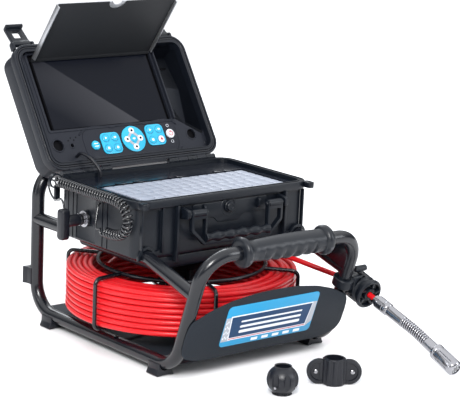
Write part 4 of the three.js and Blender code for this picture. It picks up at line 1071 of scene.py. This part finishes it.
def monitor():
    """The fascia with its openings, sockets and ridges, and the screen behind it."""
    tools = [
        prism(rounded(-134, 94, 73, 199, 2, 3), -30, 5),
        prism(softened(STORAGE, 3, 3), -30, 5),
        rod("z", 9, -30, 5, *LEFT_SOCKET, 32),
        rod("z", 8, -30, 5, *RIGHT_SOCKET, 32),
        rod("z", 3, -30, 5, *JACK, 24),
        prism(rounded(-82, 97, 21, 70, 16, 8), FASCIA_Z - 1.2, 5),
    ]
    plate = cut(prism(lid_outline(12.5, 13.5), FASCIA_Z - 3, FASCIA_Z), *tools)
    extras = [
        lathe_at([(8.9, -2.5), (11.2, -2.5), (11.2, 0.5), (10.4, 1.1), (9.4, 1.1), (8.9, 0.6)], *LEFT_SOCKET),
        lathe_at([(7.9, -2.5), (10, -2.5), (10, 0.4), (9.2, 0.9), (8.4, 0.9), (7.9, 0.5)], *RIGHT_SOCKET),
        lathe_at([(2.9, -2.5), (5, -2.5), (5, 0.4), (4.4, 0.8), (3.4, 0.8), (2.9, 0.4)], *JACK),
    ]
    extras.append(cut(
        prism(rounded(-138, 98, 69.5, 202, 4, 5), FASCIA_Z - 1, FASCIA_Z + 1.2, 0.5),
        prism(rounded(-134.2, 94.2, 73, 198.8, 2, 3), -30, 5),
    ))
    # Ridges below and above the control overlay.
    low = [(-84, 24), (-74, 20.2), (-20, 18.2), (40, 19), (88, 20.4), (99, 26)]
    high = [
        (-86, 62), (-72, 71), (-34, 72), (-22, 69), (-14, 71), (10, 73), (34, 71), (42, 69),
        (54, 72), (90, 72), (101, 64),
    ]
    for ridge, radius in ((low, 1.3), (high, 1.2)):
        extras.append(swept(smooth([(x, y, FASCIA_Z + 0.4) for x, y in ridge], 8), radius, 10))
    divider = prism(softened([(-39, 0), (-39, 3), (-4.5, 3), (-3, 1.5), (-4.5, 0)], 0.8, 2), 73, 201)
    extras.append(moved(divider, shift(97.5, 0, 0) @ TO_Y))
    on_lid("monitor_frame", merged(plate, *extras), "panel_plastic", nodes=["monitor_fascia"])
    # Painted shade: near-black matte discs at the bottom of the socket and jack holes.
    for name, radius, middle, sides in (
        ("socket_floor_left", 9.5, LEFT_SOCKET, 32), ("socket_floor_right", 8.5, RIGHT_SOCKET, 32),
        ("jack_floor", 3.4, JACK, 24),
    ):
        on_lid(name, rod("z", radius, -16, -14, *middle, sides), "panel_plastic", "dark")
    backing = block(-136, 96, 71, 201, FASCIA_Z - 8, FASCIA_Z - 6.5)
    on_lid("screen_backing", backing, "panel_plastic", "dark")
    glass = block(*SCREEN, FASCIA_Z - 6, FASCIA_Z)
    x0, x1, y0, y1 = SCREEN
    uv = glass.loops.layers.uv.new("UVMap")
    for face in glass.faces:
        for loop in face.loops:
            loop[uv].uv = ((loop.vert.co.x - x0) / (x1 - x0), (loop.vert.co.y - y0) / (y1 - y0))
    on_lid("screen", glass, "screen_glass", nodes=["lcd_screen"])
    bezel = block(-128.6, 88.6, 73.2, 190.5, FASCIA_Z - 6.4, FASCIA_Z - 1.0)
    bezel = cut(bezel, block(-127.1, 87.1, 74.4, 187.6, -30, 5))
    on_lid("screen_bezel", bezel, "panel_plastic", "dark")
    for i, x in enumerate((-146.5, 146.5)):
        screw = lathe_at([(0, 0), (4, 0), (4, 0.4), (3.4, 0.8), (0, 0.8)], x, 27.6)
        on_lid(f"fascia_screw_{i}", screw, "panel_plastic", "lid_plastic")
    pip = [(0, 0), (1.1, 0), (1.1, 0.3), (0, 0.3)]
    pips = [lathe_at(pip, -108 + i * 5, 55 + (i % 2) * 4) for i in range(4)]
    on_lid("fascia_pips", merged(*pips), "panel_plastic", "dark")


def lathe_at(profile, x, y, base=FASCIA_Z, sides=32):
    """A turned shape on the fascia, or a ring if its profile stays off the axis."""
    closed = profile[0][0] > 0
    return moved(lathe(profile, sides, closed), shift(x, y, base))


def storage_faces():
    """The sloping inner faces of the storage recess, its slot and its small disc."""
    bm = bmesh.new()
    v = {k: bm.verts.new(p) for k, p in {
        "a": (102, 73, -13), "b": (144, 44.5, -13), "c": (149.6, 49, -13), "d": (149.6, 200, -13),
        "e": (102, 200, -13), "f": (110, 92, -36), "g": (140, 70, -37), "h": (143, 76, -37),
        "i": (143, 190, -37), "j": (110, 190, -36), "k": (143, 130, -37), "l": (110, 140, -36),
    }.items()}
    for loop in ("abgf", "bchg", "cdikh", "deji", "eaflj", "fghkl", "lkij"):
        bm.faces.new([v[c] for c in loop])
    # The far half of the floor rises to a ridge.
    v["k"].co.z = -27
    v["l"].co.z = -35
    bmesh.ops.solidify(bm, geom=bm.faces[:], thickness=1.2)
    on_lid("storage_lining", bm, "case_plastic", "lid_plastic", angle=12)
    # The slot is a matte near-black block on the floor: painted shade for the slot's opening.
    on_lid("storage_slot", block(128, 139, 168, 172, -36.8, -34.5, 0.4), "case_plastic", "dark")
    disc = lathe_at([(0, 0), (5, 0), (5, 1.2), (4, 2), (0, 2)], 124, 96, -36, 24)
    on_lid("storage_disc", disc, "case_plastic")


def grown(outline, by):
    """The outline with every point moved outwards from its middle."""
    xs, ys = [x for x, y in outline], [y for x, y in outline]
    cx, cy = (min(xs) + max(xs)) / 2, (min(ys) + max(ys)) / 2
    kx, ky = 1 + 2 * by / (max(xs) - min(xs)), 1 + 2 * by / (max(ys) - min(ys))
    return [(cx + (x - cx) * kx, cy + (y - cy) * ky) for x, y in outline]


OVERLAY_Z = FASCIA_Z + 0.4
KEY_Z = FASCIA_Z + 1.7
MENU, CENTRE, POWER = (-62, 42.5), (10.5, 46.5), (83, 49)
PADS = {
    "menu_key": rounded(-69.5, -54.5, 35, 50, 7.5, 8),
    "left_keys": rounded(-50.5, -15, 26, 61, 8, 6),
    "centre_keys": rounded(-11, 32, 25, 68, 21.5, 14),
    "right_keys": rounded(36.5, 71, 32, 67, 8, 6),
    "power_key": rounded(75.5, 90.5, 41.5, 56.5, 7.5, 8),
}


def on_key(body, tag, shape, mat="print_white"):
    """A piece of a key or pad of the overlay."""
    on_lid(f"{body}_{tag}", shape, "key_white" if body == "power_key" else "key_blue", mat, body=body)


def dome(body, tag, x, y, radius, mat, base=KEY_Z, rise=1.3):
    profile = [(0, 0), (radius, 0), (radius, rise * 0.55), (radius * 0.86, rise), (0, rise)]
    on_key(body, tag, lathe_at(profile, x, y, base, 28), mat)


def printed(outline, x, y, base, height=0.2):
    """A flat sign on a key, drawn round its own middle."""
    return moved(prism(outline, 0, height), shift(x, y, base))


def keypad():
    """The control overlay with a pad for each key body, its caps and signs, and two small lamps."""
    panel = prism(rounded(-81.6, 96.6, 21.4, 69.6, 15.6, 8), FASCIA_Z - 0.9, OVERLAY_Z, 0.3)
    holes = [prism(grown(outline, 0.4), -30, 5) for outline in PADS.values()]
    on_lid("overlay_panel", cut(panel, *holes), "panel_plastic", "overlay", ["keypad_panel"])
    for name, outline in PADS.items():
        finish = ("key_white", "print_white") if name == "power_key" else ("key_blue", "key_blue")
        pad = prism(outline, OVERLAY_Z - 0.3, KEY_Z, 0.3)
        on_lid(name + "_mat", pad, *finish, [name], body=name)

    # The left and right pads: four round keys with a plain shape on each.
    signs = [
        softened([(-1.4, -2.2), (2.2, 0), (-1.4, 2.2)], 0.3, 2),
        rounded(-2.2, 2.2, -1.4, 1.4, 0.6, 3),
        rounded(-2, 2, -2, 2, 0.5, 3),
        rounded(-2.2, 2.2, -2.2, 2.2, 2.2, 8),
    ]
    for body, cx, cy in (("left_keys", -32.7, 43.5), ("right_keys", 53.8, 49.5)):
        for i, (dx, dy) in enumerate(((-8.4, 8.4), (8.4, 8.4), (-8.4, -8.4), (8.4, -8.4))):
            x, y = cx + dx, cy + dy
            red = body == "right_keys" and i == 3
            dome(body, f"rim_{i}", x, y, 6.9, "pad_blue", rise=0.5)
            dome(body, f"cap_{i}", x, y, 5.7, "print_white" if red else "key_blue")
            shape = printed(signs[i], x, y, FASCIA_Z + 3.0, 0.15)
            on_key(body, f"sign_{i}", shape, "print_red" if red else "print_white")

    # The centre pad: a pale diamond band with a key at each corner and one in the middle.
    cx, cy = CENTRE
    sign_z = FASCIA_Z + 2.85
    diamond = softened([(0, 15.6), (14.4, 0), (0, -15.6), (-14.4, 0)], 5, 5)
    inner = softened([(0, 9.6), (8.8, 0), (0, -9.6), (-8.8, 0)], 3.5, 5)
    band = cut(printed(diamond, cx, cy, KEY_Z, 0.5), printed(inner, cx, cy, KEY_Z - 2, 5))
    on_key("centre_keys", "band", band, "print_grey")
    for i, (dx, dy) in enumerate(((0, 13.6), (12.4, 0), (0, -13.6), (-12.4, 0))):
        dome("centre_keys", f"cap_{i}", cx + dx, cy + dy, 5.1, "print_white", rise=1.2)
        dome("centre_keys", f"dot_{i}", cx + dx, cy + dy, 2.0, "dark", base=FASCIA_Z + 2.7, rise=0.35)
    dome("centre_keys", "middle", cx, cy, 5.6, "key_blue", rise=1.2)
    bar = rounded(-2.6, 2.6, -1.3, 1.3, 1, 4)
    on_key("centre_keys", "middle_sign", printed(bar, cx, cy, sign_z))

    dome("menu_key", "cap", *MENU, 6.9, "key_blue", rise=1.2)
    for k in (-1, 1):
        line = rounded(-3.9, 3.9, -0.8, 0.8, 0.7, 3)
        on_key("menu_key", f"line_{k + 1}", printed(line, MENU[0], MENU[1] + k * 2.2, sign_z))
    dome("power_key", "cap", *POWER, 6.9, "print_white", rise=1.2)
    ring = lathe_at([(3.1, 0), (4.2, 0), (4.2, 0.25), (3.1, 0.25)], *POWER, sign_z)
    on_key("power_key", "ring", ring, "print_red")
    bar = rounded(-0.5, 0.5, 0.6, 4.8, 0.4, 3)
    on_key("power_key", "bar", printed(bar, *POWER, sign_z, 0.35), "print_red")
    for i, (x, y) in enumerate(((82.4, 62.8), (82.9, 35.9))):
        rim = lathe_at([(1.7, 0), (2.7, 0), (2.7, 0.6), (1.7, 0.6)], x, y, OVERLAY_Z)
        on_lid(f"led_rim_{i}", rim, "panel_plastic", "print_grey")
        lamp = lathe_at([(0, 0), (1.7, 0), (1.5, 0.5), (0, 0.7)], x, y, OVERLAY_Z)
        on_lid(f"led_{i}", lamp, "panel_plastic", "dark")


def visor():
    """The sun visor: a metal sheet with a black face, a notch and a hinge bar."""
    place = LID @ shift(-20, 188.5, -5.5) @ Matrix.Rotation(VISOR_LEAN, 4, "X")
    plate = prism(rounded(-111, 111, 3.6, 115.4, 2, 4), -1.4, 0.2, 0.2)
    flange = [block(-111, -109, 6, 114, -1, 7, 0.5), block(109, 111, 6, 114, -1, 7, 0.5)]
    shape = cut(plate, rod("z", 9.5, -10, 10, 0, 118, 40))
    put("visor_sheet", merged(shape, *flange), "visor", "visor_metal", nodes=["visor"], place=place)
    face = prism(rounded(-108.8, 108.8, 4.4, 116.2, 2, 4), 0.2, 1.5, 0.3)
    face = cut(face, rod("z", 16.5, -10, 10, 0, 118, 40))
    put("visor_face", face, "visor", "visor_metal", "visor_black", place=place)
    bar = block(-111, 111, -2.6, 4.2, -1.5, 1.5, 0.6)
    put("visor_hinge_bar", bar, "visor", "visor_metal", "visor_black", place=place)


def latches():
    """Two latches that hang from the lid, each with a window and a ribbed thumb edge."""
    for name, x in (("left_latch", -LATCH_X), ("right_latch", LATCH_X)):
        place = LID @ shift(x, 219.5, -14) @ turn(-20, "X")
        profile = softened([
            (-3, -3.2), (4, -3.4), (33, -2.5), (36, -1), (36, 9.5), (33.4, 9.5), (31, 7.8), (31, 2.5),
            (6, 2.5), (4, 3.6), (-2, 3.6), (-3.6, 1),
        ], 1.2, 3)
        lever = prism_x(profile, -15, 15, 0.6)
        window = prism(rounded(-8, 8, 12, 27, 2, 4), -9, 9)
        ribs = [block(-13 + i * 2.6, -12 + i * 2.6, 30, 35, -3.6, -2, 0.2) for i in range(11)]
        lever = merged(cut(lever, window), *ribs)
        put(name + "_lever", lever, name, "case_plastic", nodes=[name], place=place)


def lid_lead():
    """The lead from the fascia down to the deck, drawn as one fixed piece with the lid at rest; the real lead
    bends as the lid moves.
    """
    points = [
        (-103, 134, 259.8), (-102, 125, 266), (-98, 112, 263.5), (-93, 101, 255), (-90, 93, 246),
        (-89, 91, 239.5), (-89, 91, 235.9),
    ]
    lead = swept(smooth(points, 10), 2.4, 14)
    soft("lid_lead_wire", lead, "black_rubber", "black_rubber", ("carrier", "lid"), points[-1], points[0],
         ["lid_lead"])


# ------------------------------------------------------------------ loose skids

BALL_PLACE = shift(-52, -298, 0)
WING_PLACE = shift(38, -305, 0) @ turn(-36, "Z")


def ball_skid():
    """A round-sided ring with eight flutes and four small screws."""
    profile = [(12, 0), (14, 0)]
    for i in range(17):
        a = math.radians(-62 + 124 * i / 16)
        profile.append((22.2 * math.cos(a), 20 + 21.5 * math.sin(a) * 0.98))
    profile.append((12, 40))
    flutes = [moved(rod("z", 5.6, 4, 36, 23.8, 0, 16, 1.5), turn(45 * (i + 0.5), "Z")) for i in range(8)]
    body = cut(lathe(profile, 64, closed=True), *flutes)
    put("ball_skid_body", body, "ball_skid", "black_rubber", nodes=["ball_skid"],
        place=BALL_PLACE)
    for i, a in enumerate((-68, 112, 22, 202)):
        screw = lathe([(0, 20.6), (1.9, 20.6), (1.9, 22.3), (1.4, 22.6), (0, 22.6)], 20)
        put(f"ball_screw_{i}", screw, "ball_skid", "steel",
            place=BALL_PLACE @ shift(0, 0, 13) @ turn(a, "Z") @ turn(90, "Y"))


def wing_skid():
    """A ribbed sleeve with a round wing on each side, each with a screw."""
    collar = lathe([(11.8, 0), (15, 0), (15.6, 0.8), (15.6, 37.2), (15, 38), (11.8, 38)], 64, closed=True)
    ribs = []
    for i in range(10):
        rib = cut(rod("z", 4, 1, 37, 13.2, 0, 18, 0.8), rod("z", 11.8, -5, 60, 0, 0, 40))
        ribs.append(moved(rib, turn(36 * i + 18, "Z")))
    wings, screws = [], []
    for side in (-1, 1):
        wing = lathe([
            (0, -2), (12, -2), (13, -4), (16.8, -4), (18, -2.8), (18, 2.8), (16.8, 4), (13, 4),
            (12, 2), (0, 2),
        ], 56)
        web = block(side * 13, side * 21, -3, 3, 4, 35, 0.4)
        wing = merged(moved(wing, turn(90, "X"), shift(side * 21, 0, 18)), web)
        wings.append(cut(wing, rod("z", 12.6, -5, 60, 0, 0, 40)))
        screw = lathe([(0, 2), (3.4, 2), (3, 3.4), (1.6, 4.2), (0, 4.4)], 24)
        screws.append(moved(screw, turn(90, "X"), shift(side * 26, 0, 18)))
    body = merged(collar, *ribs, *wings)
    put("wing_skid_body", body, "wing_skid", "black_rubber", nodes=["wing_skid"], place=WING_PLACE)
    put("wing_screws", merged(*screws), "wing_skid", "steel", place=WING_PLACE)


# ------------------------------------------------------------------ build it all

carrier_tube()
grip()
for node, x, y in (
    ("front_left_foot", -RAIL_X, -138), ("front_right_foot", RAIL_X, -138),
    ("rear_left_foot", -RAIL_X, 132), ("rear_right_foot", RAIL_X, 132),
):
    clip_foot(node + "_clip", shift(x, y, FLOOR_Z), node)
for node, x in (("left_rear_bumper", -RAIL_X), ("right_rear_bumper", RAIL_X)):
    clip_foot(node + "_clip", shift(x, REAR_Y, 70) @ turn(90, "X"), node)
tray_and_lip()
label()
frame_bracket()
windings()
basket()
guide()
camera()
case()
keyboard_deck()
carry_handle()
front_details()
cord_and_plug()
lid()
monitor()
storage_faces()
keypad()
visor()
latches()
lid_lead()
ball_skid()
wing_skid()


# ------------------------------------------------------------------ stage, light and camera

def stage():
    bm = bmesh.new()
    bmesh.ops.create_grid(bm, x_segments=1, y_segments=1, size=14)
    mesh = bpy.data.meshes.new("floor")
    bm.to_mesh(mesh)
    bm.free()
    floor = bpy.data.objects.new("floor", mesh)
    floor.location = (0, 0, -0.0005)
    mesh.materials.append(material("floor_pale", (0.88, 0.88, 0.89), 0.9))
    bpy.context.scene.collection.objects.link(floor)


def area(name, place, target, size, power, colour=(1, 1, 1)):
    data = bpy.data.lights.new(name, "AREA")
    data.shape = "RECTANGLE"
    data.size, data.size_y = size
    data.energy = power
    data.color = colour
    obj = bpy.data.objects.new(name, data)
    obj.location = place
    aim = Vector(target) - Vector(place)
    obj.rotation_euler = aim.to_track_quat("-Z", "Y").to_euler()
    bpy.context.scene.collection.objects.link(obj)


def lights():
    """A sky that is bright overhead and dim at the sides, and four soft lamps."""
    world = bpy.data.worlds.new("studio")
    world.use_nodes = True
    tree = world.node_tree
    background = tree.nodes["Background"]
    background.inputs["Color"].default_value = (0.97, 0.98, 1.0, 1)
    sky = add_node(tree, "TexCoord").outputs["Generated"]
    split = add_node(tree, "SeparateXYZ", {"Vector": sky})
    strength = ranged(tree, split.outputs["Z"], 0.20, 0.70, 0.14, 1.62)
    tree.links.new(strength, background.inputs["Strength"])
    bpy.context.scene.world = world
    middle = (0, 0, 0.22)
    area("key", (-1.5, -1.5, 1.5), middle, (0.7, 0.7), 56, (1.0, 0.99, 0.98))
    area("fill", (1.5, -1.9, 1.0), middle, (0.8, 1.2), 18, (0.93, 0.96, 1.0))
    area("side", (-2.2, 0.4, 0.7), middle, (0.2, 1.5), 6, (0.94, 0.97, 1.0))
    area("rear", (0.5, 2.0, 1.8), middle, (1.8, 0.9), 34, (0.92, 0.96, 1.0))


def photo_camera():
    yaw, pitch, roll = (math.radians(a) for a in (39.92, 12.58, 2.45))
    ahead = Vector((math.sin(yaw) * math.cos(pitch), math.cos(yaw) * math.cos(pitch), -math.sin(pitch)))
    level = Vector((math.cos(yaw), -math.sin(yaw), 0))
    top = level.cross(ahead)
    right = level * math.cos(roll) + top * math.sin(roll)
    up = top * math.cos(roll) - level * math.sin(roll)
    data = bpy.data.cameras.new("photo_camera")
    data.lens = 144.3
    data.sensor_width = 36
    data.clip_start, data.clip_end = 0.05, 100
    obj = bpy.data.objects.new("photo_camera", data)
    turned = Matrix((right, up, -ahead)).transposed().to_4x4()
    obj.matrix_world = Matrix.Translation(in_frame(-1671.0, -2103.8, 810.4)) @ turned
    bpy.context.scene.collection.objects.link(obj)
    bpy.context.scene.camera = obj


stage()
lights()
photo_camera()
bpy.context.scene.view_settings.view_transform = "Standard"
bpy.context.scene.view_settings.look = "None"
